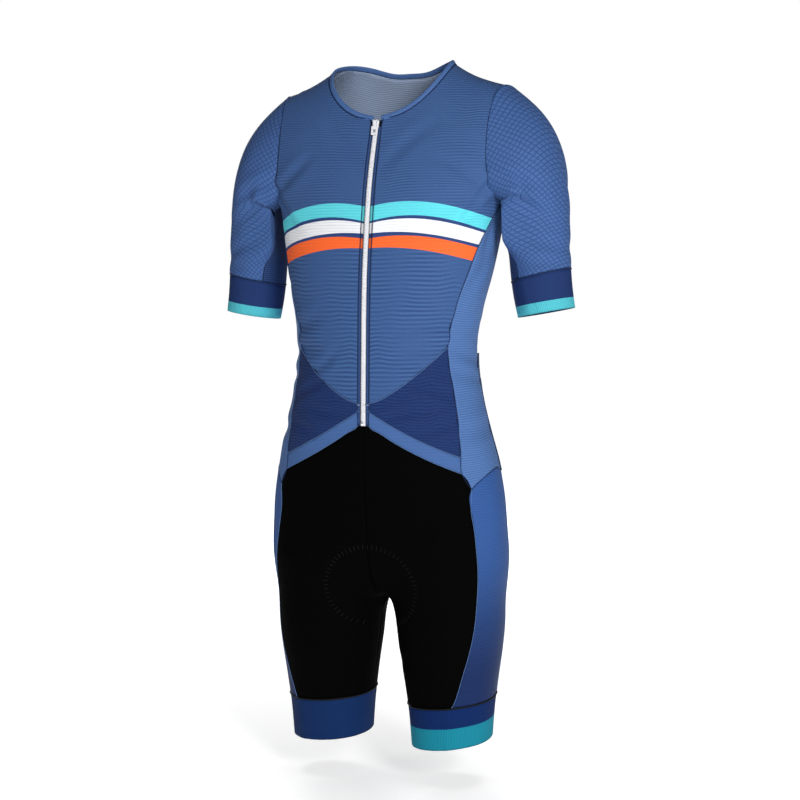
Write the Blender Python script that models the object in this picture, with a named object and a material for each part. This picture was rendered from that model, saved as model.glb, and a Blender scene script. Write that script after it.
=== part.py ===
"""Cycling road suit in its worn shape with no wearer: short sleeves, short legs, full front zip.

Metres, +Z up. The front faces -Y and the wearer's left side is +X. The origin lies between the
shoulders, where a wearer carries the suit.
"""
import math
from collections import namedtuple

import bmesh
import bpy
import numpy as np

for old in list(bpy.data.objects):
    bpy.data.objects.remove(old, do_unlink=True)

# Driving dimensions of the cloth
CLOTH = 0.0014
BAND_CLOTH = 0.0019
SEAM_INSET = 0.00015
CORNER_LIMIT = 0.35
ZIP_HALF_CHAIN = 0.0034
ZIP_HALF_GUARD = 0.0077
CHAIN_WALL = 0.0022
BINDING_HEIGHT = 0.0062
BINDING_WALL = 0.0026

# Levels along the body, metres below the shoulders
NECK_FRONT = -0.0500
ARC_INNER = -0.4060
BAND_TOP_INNER = -0.4170
BAND_FOOT_INNER = -0.4345
ARC_OUTER = -0.3360
ARC_SAG = 1.5
BAND_TOP_OUTER = -0.4730
BAND_FOOT_OUTER = -0.4930
SIDE_FOOT = -0.5120
SIDE_FOOT_PEAK = 0.016
BACK_FOOT = -0.4970
BACK_FOOT_DROP = 0.012
LEG_BAND_TOP = -0.7870
LEG_HEM = -0.8410

# Rows and columns of each panel's net of points
FRONT_BODY_ROWS = 14
FRONT_NECK_ROWS = 5
SIDE_LOW_ROWS = 11
ARMHOLE_ROWS = 8
FRONT_COLUMNS = 8
BELLY_ROWS = 6
SIDE_COLUMNS = 3
BACK_NECK_ROWS = 4
SEAT_ROWS = 8
INSEAM_ROWS = 5
LEG_BAND_ROWS = 3
SLEEVE_ROWS = 8
CUFF_ROWS = 2

# Steps along a line that looks for the body's surface
CAST_STEP = 0.004
CAST_STEPS = 80
CAST_HALVINGS = 14
NORMAL_PROBE = 0.002

# The trunk, from the neck down to the hips
TrunkRow = namedtuple("TrunkRow", "height half_width widest_y front_y back_y squareness")
TRUNK = [
    TrunkRow(0.060, 0.120, 0.030, -0.012, 0.066, 2.2),
    TrunkRow(0.030, 0.160, 0.028, -0.020, 0.078, 2.2),
    TrunkRow(0.000, 0.190, 0.024, -0.034, 0.090, 2.3),
    TrunkRow(-0.040, 0.196, 0.020, -0.050, 0.100, 2.3),
    TrunkRow(-0.080, 0.188, 0.014, -0.064, 0.105, 2.3),
    TrunkRow(-0.120, 0.169, 0.008, -0.077, 0.106, 2.3),
    TrunkRow(-0.160, 0.147, 0.002, -0.086, 0.104, 2.3),
    TrunkRow(-0.200, 0.139, -0.002, -0.092, 0.099, 2.3),
    TrunkRow(-0.240, 0.132, -0.008, -0.097, 0.090, 2.3),
    TrunkRow(-0.290, 0.121, -0.016, -0.100, 0.078, 2.25),
    TrunkRow(-0.340, 0.115, -0.020, -0.101, 0.069, 2.2),
    TrunkRow(-0.390, 0.121, -0.020, -0.102, 0.070, 2.2),
    TrunkRow(-0.440, 0.132, -0.019, -0.102, 0.079, 2.2),
    TrunkRow(-0.490, 0.144, -0.018, -0.099, 0.092, 2.2),
    TrunkRow(-0.540, 0.151, -0.018, -0.095, 0.102, 2.2),
    TrunkRow(-0.590, 0.152, -0.018, -0.089, 0.105, 2.2),
    TrunkRow(-0.640, 0.147, -0.016, -0.080, 0.098, 2.2),
    TrunkRow(-0.700, 0.141, -0.012, -0.072, 0.086, 2.2),
]
TRUNK_FOOT = -0.646
CROTCH_ROUNDING = 0.050

# Height of the shoulder line at distances out from the middle
RidgeRow = namedtuple("RidgeRow", "out height")
SHOULDER_LINE = [
    RidgeRow(0.000, 0.058),
    RidgeRow(0.060, 0.042),
    RidgeRow(0.080, 0.0250),
    RidgeRow(0.094, 0.0158),
    RidgeRow(0.110, 0.0075),
    RidgeRow(0.135, -0.0015),
    RidgeRow(0.161, -0.0090),
    RidgeRow(0.177, -0.0155),
    RidgeRow(0.203, -0.0310),
    RidgeRow(0.230, -0.0750),
]
RIDGE_Y = 0.024
RIDGE_RADIUS = 0.075
SHOULDER_ROUNDING = 0.040

# One leg; the other mirrors it
LegRow = namedtuple("LegRow", "height middle_x middle_y half_width half_depth")
LEG = [
    LegRow(-0.560, 0.074, -0.004, 0.062, 0.074),
    LegRow(-0.640, 0.079, -0.003, 0.069, 0.078),
    LegRow(-0.680, 0.081, -0.003, 0.0693, 0.0757),
    LegRow(-0.720, 0.082, -0.003, 0.0655, 0.070),
    LegRow(-0.760, 0.082, -0.002, 0.0600, 0.062),
    LegRow(-0.800, 0.082, 0.000, 0.0550, 0.057),
    LegRow(-0.840, 0.082, 0.001, 0.0520, 0.053),
    LegRow(-0.900, 0.082, 0.003, 0.0490, 0.050),
]
LEG_TOP = -0.585
LEG_ROUNDING = 0.034
HEM_RADIUS = 0.055
# The leg bands dip at the front
HEM_DIP_FRONT = 0.07

# The left sleeve: a fan of rings from the armhole's plane to the hem's plane
ARMHOLE_CENTRE = np.array([0.1545, 0.012, -0.080])
ARMHOLE_NORMAL = np.array([0.960, -0.230, 0.045])
HEM_CENTRE = np.array([0.2030, 0.014, -0.2930])
HEM_NORMAL = np.array([0.170, 0.030, -0.985])
SLEEVE_START_WAY = np.array([0.90, -0.06, -0.42])
SLEEVE_BEND_START = 0.085
SLEEVE_BEND_END = 0.130
SleeveRow = namedtuple("SleeveRow", "share outer inner front back")
SLEEVE = [
    SleeveRow(0.00, 0.078, 0.068, 0.060, 0.070),
    SleeveRow(0.25, 0.061, 0.067, 0.055, 0.062),
    SleeveRow(0.50, 0.041, 0.053, 0.047, 0.051),
    SleeveRow(0.75, 0.038, 0.043, 0.041, 0.042),
    SleeveRow(1.00, 0.0365, 0.0365, 0.0365, 0.0365),
]
# Share of the sleeve over which it takes the armhole's own outline into its table's rings
SLEEVE_CARRY = 0.45
CUFF_SHARE = 0.865
# Directions of the two underarm seams round the armhole and round the hem, degrees from the top
UNDER_FRONT_ARMHOLE = 160.0
UNDER_BACK_ARMHOLE = 200.0
UNDER_FRONT_HEM = 121.0
UNDER_BACK_HEM = 239.0

# Seams on the trunk; a turn is the direction from the front (0) to the wearer's left (90)
SeamRow = namedtuple("SeamRow", "height turn")
SIDE_FRONT_SEAM = [
    SeamRow(-0.200, 74.0),
    SeamRow(-0.240, 69.5),
    SeamRow(-0.290, 65.5),
    SeamRow(-0.336, 63.5),
    SeamRow(-0.400, 66.0),
    SeamRow(-0.440, 66.0),
    SeamRow(-0.473, 65.5),
    SeamRow(-0.493, 65.5),
    SeamRow(-0.512, 70.0),
]
SIDE_BACK_SEAM = [
    SeamRow(-0.200, 106.0),
    SeamRow(-0.260, 109.0),
    SeamRow(-0.340, 110.0),
    SeamRow(-0.420, 109.0),
    SeamRow(-0.497, 104.0),
]
# Length over which a side seam eases from the armhole's corner onto its table
SEAM_EASE = 0.060
# Edges of the black shorts panels, as directions round the leg's own middle
LegEdgeRow = namedtuple("LegEdgeRow", "height left_front left_back right_front right_back")
LEG_EDGES = [
    LegEdgeRow(-0.497, 32.0, 104.0, 32.0, 104.0),
    LegEdgeRow(-0.512, 36.0, 105.0, 36.0, 105.0),
    LegEdgeRow(-0.545, 42.5, 107.0, 42.0, 107.0),
    LegEdgeRow(-0.590, 45.0, 108.0, 47.5, 109.0),
    LegEdgeRow(-0.650, 45.0, 109.0, 52.0, 111.6),
    LegEdgeRow(-0.700, 40.0, 110.0, 51.5, 114.2),
    LegEdgeRow(-0.752, 29.5, 111.0, 43.5, 117.8),
    LegEdgeRow(-0.800, 17.5, 112.0, 32.0, 120.4),
]
LEG_INNER_TURN = 272.0


def smooth_step(value):
    share = np.clip(value, 0.0, 1.0)
    return share * share * (3.0 - 2.0 * share)


def table_curve(rows, at, column, axis="height"):
    """Read one column of a table at the given places, smoothly between its rows."""
    places = np.array([getattr(row, axis) for row in rows], dtype=float)
    values = np.array([getattr(row, column) for row in rows], dtype=float)
    order = np.argsort(places)
    places = places[order]
    values = values[order]
    slopes = np.gradient(values, places)
    at = np.clip(np.asarray(at, dtype=float), places[0], places[-1])
    cell = np.clip(np.searchsorted(places, at) - 1, 0, len(places) - 2)
    width = places[cell + 1] - places[cell]
    share = (at - places[cell]) / width
    rest = 1.0 - share
    start = values[cell] * (1.0 + 2.0 * share) * rest * rest
    end = values[cell + 1] * share * share * (3.0 - 2.0 * share)
    bend = slopes[cell] * share * rest * rest - slopes[cell + 1] * share * share * rest
    return start + end + width * bend


def smooth_min(first, second, rounding):
    overlap = np.maximum(rounding - np.abs(first - second), 0.0) / rounding
    return np.minimum(first, second) - overlap * overlap * rounding * 0.25


def smooth_max(first, second, rounding):
    return -smooth_min(-first, -second, rounding)


def ring_distance(offset_x, offset_y, half_x, half_y, squareness):
    """How far a point lies outside a level oval, along the line from its middle."""
    size = np.abs(offset_x / half_x) ** squareness + np.abs(offset_y / half_y) ** squareness
    size = np.maximum(size, 1e-9) ** (1.0 / squareness)
    reach = np.hypot(offset_x, offset_y)
    return reach - np.maximum(reach, 1e-7) / size


def trunk_distance(points):
    x, y, z = points[:, 0], points[:, 1], points[:, 2]
    widest = table_curve(TRUNK, z, "widest_y")
    front = widest - table_curve(TRUNK, z, "front_y")
    back = table_curve(TRUNK, z, "back_y") - widest
    depth = np.where(y < widest, front, back)
    half_width = table_curve(TRUNK, z, "half_width")
    squareness = table_curve(TRUNK, z, "squareness")
    wall = ring_distance(x, y - widest, half_width, depth, squareness)
    ridge = table_curve(SHOULDER_LINE, np.abs(x), "height", "out")
    roof = 0.9 * (z - ridge + (y - RIDGE_Y) ** 2 / (2.0 * RIDGE_RADIUS))
    return smooth_max(wall, roof, SHOULDER_ROUNDING)


def leg_distance(points, side):
    x, y, z = points[:, 0] * side, points[:, 1], points[:, 2]
    across = x - table_curve(LEG, z, "middle_x")
    along = y - table_curve(LEG, z, "middle_y")
    half_width = table_curve(LEG, z, "half_width")
    half_depth = table_curve(LEG, z, "half_depth")
    wall = ring_distance(across, along, half_width, half_depth, 2.1)
    return smooth_max(wall, z - LEG_TOP, LEG_ROUNDING)


def body_distance(points):
    """Negative inside the suit's outer surface, positive outside it."""
    trunk = smooth_max(trunk_distance(points), TRUNK_FOOT - points[:, 2], CROTCH_ROUNDING)
    left = smooth_min(trunk, leg_distance(points, 1.0), LEG_ROUNDING)
    right = smooth_min(trunk, leg_distance(points, -1.0), LEG_ROUNDING)
    return smooth_min(left, right, LEG_ROUNDING * 0.3)


def cast(start, direction):
    """Follow lines out from inside the body and return where they leave its surface."""
    start = np.asarray(start, dtype=float)
    direction = np.asarray(direction, dtype=float)
    direction = direction / np.linalg.norm(direction, axis=-1, keepdims=True)
    start = np.broadcast_to(start, direction.shape)
    shape = direction.shape
    start = start.reshape(-1, 3)
    direction = direction.reshape(-1, 3)
    reach = CAST_STEP * np.arange(1, CAST_STEPS + 1)
    points = start[:, None] + direction[:, None] * reach[None, :, None]
    outside = body_distance(points.reshape(-1, 3)).reshape(points.shape[:2]) > 0.0
    first = np.where(outside.any(axis=1), np.argmax(outside, axis=1), CAST_STEPS - 1)
    high = reach[first]
    low = high - CAST_STEP
    for halving in range(CAST_HALVINGS):
        middle = 0.5 * (low + high)
        beyond = body_distance(start + direction * middle[:, None]) > 0.0
        high = np.where(beyond, middle, high)
        low = np.where(beyond, low, middle)
    return (start + direction * (0.5 * (low + high))[:, None]).reshape(shape)


def body_normals(points):
    shape = points.shape
    flat = points.reshape(-1, 3)
    normals = np.empty_like(flat)
    for axis in range(3):
        shift = np.zeros(3)
        shift[axis] = NORMAL_PROBE
        normals[:, axis] = body_distance(flat + shift) - body_distance(flat - shift)
    normals /= np.linalg.norm(normals, axis=1, keepdims=True)
    return normals.reshape(shape)


def turn_direction(turn):
    turn = np.radians(turn)
    return np.stack([np.sin(turn), -np.cos(turn), np.zeros_like(turn)], axis=-1)


def trunk_middle(height):
    height = np.asarray(height, dtype=float)
    widest = table_curve(TRUNK, height, "widest_y")
    return np.stack([np.zeros_like(height), widest, height], axis=-1)


def leg_middle(height):
    height = np.asarray(height, dtype=float)
    across = table_curve(LEG, height, "middle_x")
    along = table_curve(LEG, height, "middle_y")
    return np.stack([across, along, height], axis=-1)


def spaced(start, end, count):
    return np.linspace(start, end, count + 1)


def trunk_seam(rows, top, foot, count):
    """Points of a seam on the trunk, from its top down."""
    heights = spaced(top, foot, count)
    turns = table_curve(rows, heights, "turn")
    return cast(trunk_middle(heights), turn_direction(turns))


def centre_line(top, foot, count, turn):
    heights = spaced(top, foot, count)
    return cast(trunk_middle(heights), turn_direction(np.full(count + 1, turn)))


def line_beside_zip(top, foot, count, out):
    start = np.zeros((count + 1, 3))
    start[:, 0] = out
    start[:, 2] = spaced(top, foot, count)
    return cast(start, turn_direction(np.zeros(count + 1)))


def hem_height(level, turn, rise):
    """Height of a leg ring at a direction round the leg: it dips in front and rises outwards."""
    turn = np.radians(turn)
    return level + HEM_RADIUS * (-HEM_DIP_FRONT * np.cos(turn) + rise * np.sin(turn))


def leg_points(heights, turns):
    return cast(leg_middle(heights), turn_direction(turns))


def leg_edge(column, rise, start, count):
    """An edge of the shorts down the outside of the leg, from a point at its top."""
    band_turn = getattr(LEG_EDGES[-1], column)
    foot = hem_height(LEG_BAND_TOP, np.array(band_turn), rise)
    heights = spaced(start[2], foot, count)
    points = leg_points(heights, table_curve(LEG_EDGES, heights, column))
    points[0] = start
    return points, band_turn


# The neckline, as heights at turns from the front (0) to the back (180)
NeckRow = namedtuple("NeckRow", "turn height reach")
NECKLINE = [
    NeckRow(0.0, -0.0500, 0.066),
    NeckRow(25.0, -0.0440, 0.071),
    NeckRow(50.0, -0.0240, 0.079),
    NeckRow(75.0, 0.0050, 0.080),
    NeckRow(95.0, 0.0200, 0.077),
    NeckRow(120.0, 0.0240, 0.075),
    NeckRow(150.0, 0.0230, 0.070),
    NeckRow(180.0, 0.0220, 0.066),
]
NECK_MIDDLE_Y = 0.012
SHOULDER_TURN = 97.0
CHEST_CENTRE = np.array([0.0, 0.012, -0.120])


def neckline_points(turns):
    heights = table_curve(NECKLINE, turns, "height", "turn")
    reach = table_curve(NECKLINE, turns, "reach", "turn")
    aim = turn_direction(turns) * reach[:, None]
    aim[:, 1] += NECK_MIDDLE_Y
    aim[:, 2] = heights
    centre = CHEST_CENTRE + np.array([0.3, 0.0, 0.0]) * aim
    return cast(centre, aim - centre)


def unit(vector):
    return vector / np.linalg.norm(vector)


def ring_axes(normal):
    """Directions in a sleeve ring's plane: out (or up) and to the front."""
    normal = unit(normal)
    front = unit(np.cross(normal, np.array([0.0, 0.0, 1.0])) + np.array([0.0, -1.0, 0.0]))
    front = unit(front - normal * np.dot(front, normal))
    out = np.cross(front, normal)
    return unit(out), front


def around(out, front, turns):
    turns = np.radians(turns)[:, None]
    return np.cos(turns) * out + np.sin(turns) * front


def armhole_points(turns):
    out, front = ring_axes(ARMHOLE_NORMAL)
    return cast(ARMHOLE_CENTRE, around(out, front, turns))


def sleeve_ring_place(share):
    """Middle and normal of the sleeve's ring at a share of the way from armhole to hem."""
    start, end = ARMHOLE_CENTRE, HEM_CENTRE
    first = start + unit(SLEEVE_START_WAY) * SLEEVE_BEND_START
    second = end - unit(HEM_NORMAL) * SLEEVE_BEND_END
    rest = 1.0 - share
    middle = rest ** 3 * start + 3 * rest * rest * share * first
    middle = middle + 3 * rest * share * share * second + share ** 3 * end
    turned = smooth_step(share)
    normal = unit(ARMHOLE_NORMAL) * (1.0 - turned) + unit(HEM_NORMAL) * turned
    return middle, unit(normal)


def sleeve_radius(share, radians):
    """Distance from a sleeve ring's middle to its edge, from the four reaches of the table."""
    reach = {side: table_curve(SLEEVE, share, side, "share") for side in SleeveRow._fields[1:]}
    up = np.where(np.cos(radians) > 0.0, reach["outer"], reach["inner"])
    fore = np.where(np.sin(radians) > 0.0, reach["front"], reach["back"])
    return 1.0 / np.sqrt((np.cos(radians) / up) ** 2 + (np.sin(radians) / fore) ** 2)


def sleeve_ring(share, hole_turns, hem_turns, armhole):
    """Points of one sleeve ring; the first ring is the armhole itself."""
    middle, normal = sleeve_ring_place(share)
    out, front = ring_axes(normal)
    turns = hole_turns * (1.0 - share) + hem_turns * share
    radians = np.radians(turns)
    own = np.linalg.norm(armhole - ARMHOLE_CENTRE, axis=1)
    carry = 1.0 - smooth_step(share / SLEEVE_CARRY)
    radius = sleeve_radius(share, radians) + (own - sleeve_radius(0.0, radians)) * carry
    return middle + around(out, front, turns) * radius[:, None]


def panel_net(left, right, centres, columns, head=None, foot=None):
    """Rows of points on the body between two edges; each row fans out from its own centre.

    A head or a foot row that is given bends the rows near it towards its own line.
    """
    first = left - centres
    last = right - centres
    first /= np.linalg.norm(first, axis=1, keepdims=True)
    last /= np.linalg.norm(last, axis=1, keepdims=True)
    angle = np.arccos(np.clip(np.sum(first * last, axis=1), -1.0, 1.0))[:, None]
    share = spaced(0.0, 1.0, columns)[None, :]
    near = np.sin((1.0 - share) * angle) / np.sin(angle)
    far = np.sin(share * angle) / np.sin(angle)
    heading = near[:, :, None] * first[:, None] + far[:, :, None] * last[:, None]
    net = cast(centres[:, None], heading)
    down = np.linspace(0.0, 1.0, len(left))[:, None, None]
    bend = np.zeros_like(net)
    if head is not None:
        bend += (head - net[0])[None] * (1.0 - down) ** 2
    if foot is not None:
        bend += (foot - net[-1])[None] * down ** 2
    net = cast(centres[:, None], net + bend - centres[:, None])
    net[:, 0] = left
    net[:, -1] = right
    if head is not None:
        net[0] = head
    if foot is not None:
        net[-1] = foot
    return net


def even_out(points, count):
    """Respace points evenly along their own polyline."""
    steps = np.linalg.norm(np.diff(points, axis=0), axis=1)
    length = np.concatenate([[0.0], np.cumsum(steps)])
    at = np.linspace(0.0, length[-1], count + 1)
    return np.stack([np.interp(at, length, points[:, axis]) for axis in range(3)], axis=1)


def material(name, colour, roughness, metallic=0.0):
    finish = bpy.data.materials.new(name)
    finish.use_nodes = True
    shader = finish.node_tree.nodes["Principled BSDF"]
    shader.inputs["Base Color"].default_value = (*colour, 1.0)
    shader.inputs["Roughness"].default_value = roughness
    shader.inputs["Metallic"].default_value = metallic
    return finish


def edge_inset(net, normals, closed):
    """Move the border of a net inwards by half the seam gap, square to the border."""
    sides = [(np.s_[0, :], np.s_[1, :]), (np.s_[-1, :], np.s_[-2, :])]
    if not closed:
        sides += [(np.s_[:, 0], np.s_[:, 1]), (np.s_[:, -1], np.s_[:, -2])]
    inward = np.zeros_like(net)
    count = np.zeros(net.shape[:2])
    pair_dot = np.zeros(net.shape[:2])
    for border, beside in sides:
        line = net[border]
        if closed:
            along = np.roll(line, -1, axis=0) - np.roll(line, 1, axis=0)
        else:
            along = np.gradient(line, axis=0)
        across = np.cross(along, normals[border])
        across /= np.linalg.norm(across, axis=1, keepdims=True)
        across *= np.sign(np.sum(across * (net[beside] - line), axis=1))[:, None]
        pair_dot[border] = np.sum(inward[border] * across, axis=1)
        inward[border] += across
        count[border] += 1
    # At a corner the two moves share a direction, so their sum is cut down
    scale = np.where(count > 1, 1.0 / np.maximum(1.0 + pair_dot, CORNER_LIMIT), 1.0)
    return net + inward * (SEAM_INSET * scale)[:, :, None]


def wall_mesh(bm, net, normals, wall, closed):
    """Build a closed wall of cloth from a net of points on its outer face."""
    outer_net = edge_inset(net, normals, closed)
    inner_net = outer_net - normals * wall
    rows, columns = net.shape[:2]
    outer = [[bm.verts.new(point) for point in row] for row in outer_net]
    inner = [[bm.verts.new(point) for point in row] for row in inner_net]
    around_count = columns if closed else columns - 1
    for row in range(rows - 1):
        for column in range(around_count):
            beside = (column + 1) % columns
            corner = [(row, column), (row, beside), (row + 1, beside), (row + 1, column)]
            across = np.linalg.norm(outer_net[corner[0]] - outer_net[corner[2]])
            if np.linalg.norm(outer_net[corner[1]] - outer_net[corner[3]]) < across:
                corner = corner[1:] + corner[:1]
            # Both faces of the cloth are cut along the same diagonal, so that they stay apart
            for half in (corner[:3], corner[2:] + corner[:1]):
                bm.faces.new([outer[r][c] for r, c in half])
                bm.faces.new([inner[r][c] for r, c in reversed(half)])
    for row, flip in ((0, False), (rows - 1, True)):
        for column in range(around_count):
            beside = (column + 1) % columns
            rim = [outer[row][beside], outer[row][column], inner[row][column], inner[row][beside]]
            bm.faces.new(rim[::-1] if flip else rim)
    if not closed:
        for column, flip in ((0, True), (columns - 1, False)):
            for row in range(rows - 1):
                rim = [outer[row + 1][column], outer[row][column]]
                rim += [inner[row][column], inner[row + 1][column]]
                bm.faces.new(rim[::-1] if flip else rim)


def add_object(name, bm, finish):
    bmesh.ops.recalc_face_normals(bm, faces=bm.faces)
    if bm.calc_volume(signed=True) < 0.0:
        bmesh.ops.reverse_faces(bm, faces=bm.faces)
    mesh = bpy.data.meshes.new(name)
    bm.to_mesh(mesh)
    bm.free()
    mesh.materials.append(finish)
    mesh.shade_smooth()
    mesh.set_sharp_from_angle(angle=math.radians(40.0))
    piece = bpy.data.objects.new(name, mesh)
    bpy.context.collection.objects.link(piece)
    return piece


def mirrored(net):
    return net * np.array([-1.0, 1.0, 1.0])


def cloth_piece(name, net, finish, normals=None, wall=CLOTH, closed=False):
    bm = bmesh.new()
    if normals is None:
        normals = body_normals(net)
    wall_mesh(bm, net, normals, wall, closed)
    add_object(name, bm, finish)


def cloth_pair(name, net, finish, normals=None, wall=CLOTH, closed=False):
    """A piece for the wearer's left and its mirror image for the right."""
    if normals is None:
        normals = body_normals(net)
    cloth_piece(name + "_left", net, finish, normals, wall, closed)
    cloth_piece(name + "_right", mirrored(net), finish, mirrored(normals), wall, closed)


# Cloths
KNIT_BLUE = material("royal ribbed knit", (0.075, 0.165, 0.420), 0.70)
NAVY_KNIT = material("navy crinkle knit", (0.014, 0.045, 0.180), 0.72)
BAND_BLUE = material("light blue knit", (0.090, 0.200, 0.480), 0.70)
SIDE_BLUE = material("side panel knit", (0.060, 0.140, 0.400), 0.70)
BLACK_KNIT = material("black compression knit", (0.004, 0.005, 0.004), 0.62)
LEG_BLUE = material("royal compression knit", (0.035, 0.110, 0.380), 0.65)
MESH_BLUE = material("sleeve mesh", (0.040, 0.100, 0.320), 0.75)
UNDER_BLUE = material("underarm knit", (0.020, 0.060, 0.230), 0.75)
CUFF_NAVY = material("navy cuff band", (0.014, 0.032, 0.150), 0.65)
BINDING_BLUE = material("collar binding", (0.070, 0.150, 0.400), 0.65)
CHAIN_WHITE = material("moulded zip chain", (0.800, 0.800, 0.800), 0.40)
SLIDER_METAL = material("cast zinc slider", (0.550, 0.550, 0.560), 0.30, 1.0)
PULL_METAL = material("stamped pull tab", (0.700, 0.700, 0.710), 0.30, 1.0)

# Edges shared by neighbouring panels, on the wearer's left
armhole_front_turns = spaced(0.0, UNDER_FRONT_ARMHOLE, ARMHOLE_ROWS)
armhole_under_turns = spaced(UNDER_FRONT_ARMHOLE, UNDER_BACK_ARMHOLE, SIDE_COLUMNS)
armhole_back_turns = spaced(UNDER_BACK_ARMHOLE, 360.0, ARMHOLE_ROWS)
armhole_front = armhole_points(armhole_front_turns)
armhole_under = armhole_points(armhole_under_turns)
armhole_back = armhole_points(armhole_back_turns)

neck_front = neckline_points(spaced(SHOULDER_TURN, 0.0, FRONT_NECK_ROWS))
neck_back = neckline_points(spaced(SHOULDER_TURN, 180.0, BACK_NECK_ROWS))


def seam_from(corner, rows, foot, count):
    """A trunk seam that starts exactly at an armhole corner and eases onto its table."""
    heights = spaced(corner[2], foot, count)
    middle = trunk_middle(heights)
    turns = table_curve(rows, heights, "turn")
    first = corner - middle[0]
    first_turn = math.degrees(math.atan2(first[0], -first[1]))
    ease = 1.0 - smooth_step((corner[2] - heights) / SEAM_EASE)
    turns = turns + (first_turn - turns[0]) * ease
    points = cast(middle, turn_direction(turns))
    points[0] = corner
    return points


side_front = seam_from(armhole_front[-1], SIDE_FRONT_SEAM, ARC_OUTER, SIDE_LOW_ROWS)
belly_side = trunk_seam(SIDE_FRONT_SEAM, ARC_OUTER, BAND_TOP_OUTER, BELLY_ROWS)
band_side = trunk_seam(SIDE_FRONT_SEAM, BAND_TOP_OUTER, BAND_FOOT_OUTER, 1)
side_tail = trunk_seam(SIDE_FRONT_SEAM, BAND_FOOT_OUTER, SIDE_FOOT, 1)
side_front_all = np.concatenate([side_front, belly_side[1:], band_side[1:], side_tail[1:]])
side_rows = len(side_front_all) - 1
side_back = seam_from(armhole_back[0], SIDE_BACK_SEAM, BACK_FOOT, side_rows)


def zip_edge(out):
    """Front edge beside the zip from the neck down, in the rows of its three panels."""
    front = line_beside_zip(NECK_FRONT, ARC_INNER, FRONT_BODY_ROWS, out)
    belly = line_beside_zip(ARC_INNER, BAND_TOP_INNER, BELLY_ROWS, out)
    band = line_beside_zip(BAND_TOP_INNER, BAND_FOOT_INNER, 1, out)
    return front, belly, band


guard_front, guard_belly, guard_band = zip_edge(ZIP_HALF_GUARD)
chain_front, chain_belly, chain_band = zip_edge(ZIP_HALF_CHAIN)
# The neckline stops beside the zip, not at the middle
neck_front[-1] = guard_front[0]


def row_centres(left, right):
    """A centre for each row: on the body's axis, no higher than the chest."""
    heights = np.minimum(0.5 * (left[:, 2] + right[:, 2]), CHEST_CENTRE[2])
    return trunk_middle(heights)


def crossing_seam(inner, outer, sag=1.0):
    """A seam across the front from the zip's edge to the side seam; it hangs by its sag."""
    share = spaced(0.0, 1.0, FRONT_COLUMNS)
    heights = inner[2] + (outer[2] - inner[2]) * share ** sag
    turns = []
    for end in (inner, outer):
        away = end - trunk_middle(end[2])
        turns.append(math.degrees(math.atan2(away[0], -away[1])))
    turn = turns[0] + (turns[1] - turns[0]) * share
    points = cast(trunk_middle(heights), turn_direction(turn))
    points[0] = inner
    points[-1] = outer
    return points


def trunk_panel(left, right, columns, head=None, foot=None):
    return panel_net(left, right, row_centres(left, right), columns, head, foot)


arc_row = crossing_seam(guard_belly[0], belly_side[0], ARC_SAG)
band_top_row = crossing_seam(guard_band[0], band_side[0])
band_foot_row = crossing_seam(guard_band[-1], band_side[-1])
front_left_edge = np.concatenate([neck_front, guard_front[1:]])
front_right_edge = np.concatenate([armhole_front, side_front[1:]])
front_net = trunk_panel(front_left_edge, front_right_edge, FRONT_COLUMNS, foot=arc_row)
cloth_pair("front", front_net, KNIT_BLUE)
belly_net = trunk_panel(guard_belly, belly_side, FRONT_COLUMNS, arc_row, band_top_row)
cloth_pair("belly", belly_net, NAVY_KNIT)
band_net = trunk_panel(guard_band, band_side, FRONT_COLUMNS, band_top_row, band_foot_row)
cloth_pair("band", band_net, BAND_BLUE)


def side_foot_row():
    """Foot of the side panel, a low arch over the top of the leg side."""
    start, end = side_front_all[-1], side_back[-1]
    share = spaced(0.0, 1.0, SIDE_COLUMNS)
    heights = start[2] + (end[2] - start[2]) * share
    heights += SIDE_FOOT_PEAK * np.sin(np.pi * share)
    middle = trunk_middle(heights)
    aim = start[None] + (end - start)[None] * share[:, None]
    heading = aim - middle
    heading[:, 2] = 0.0
    points = cast(middle, heading)
    points[0] = start
    points[-1] = end
    return points


side_net = trunk_panel(side_front_all, side_back, SIDE_COLUMNS, armhole_under, side_foot_row())
cloth_pair("side", side_net, SIDE_BLUE)

back_rows = side_rows + ARMHOLE_ROWS
back_centre = centre_line(neck_back[-1][2], BACK_FOOT - BACK_FOOT_DROP, back_rows, 180.0)
back_centre[0] = neck_back[-1]
back_outer_edge = np.concatenate([armhole_back[::-1], side_back[1:]])
# The back's top runs along the neck and then along every second point of the shoulder seam
back_head = np.concatenate([neck_back[::-1], front_net[0][::2][1:]])
back_half = trunk_panel(back_centre, back_outer_edge, FRONT_COLUMNS, head=back_head)
back_net = np.concatenate([mirrored(back_half)[:, ::-1], back_half[:, 1:]], axis=1)
cloth_piece("back", back_net, KNIT_BLUE)


# The back pocket
POCKET_TOP = -0.342
POCKET_GAPE = 0.0025
POCKET_CLEARANCE = 0.0004
POCKET_EDGE_SHARE = 0.12


def pocket_patch():
    """A patch across the lower back that stands a little off its panel at the top."""
    first = int(np.argmax(back_net[:, FRONT_COLUMNS, 2] < POCKET_TOP))
    net = back_net[first:].copy()
    net[:, 0] += (net[:, 1] - net[:, 0]) * POCKET_EDGE_SHARE
    net[:, -1] += (net[:, -2] - net[:, -1]) * POCKET_EDGE_SHARE
    net[-1] += (net[-2] - net[-1]) * POCKET_EDGE_SHARE
    normals = body_normals(net)
    gape = np.linspace(1.0, 0.0, len(net))[:, None, None] ** 2 * POCKET_GAPE
    net = net + normals * (CLOTH + POCKET_CLEARANCE + gape)
    return net, normals


pocket_net, pocket_normals = pocket_patch()
cloth_piece("back_pocket", pocket_net, KNIT_BLUE, pocket_normals)

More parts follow.
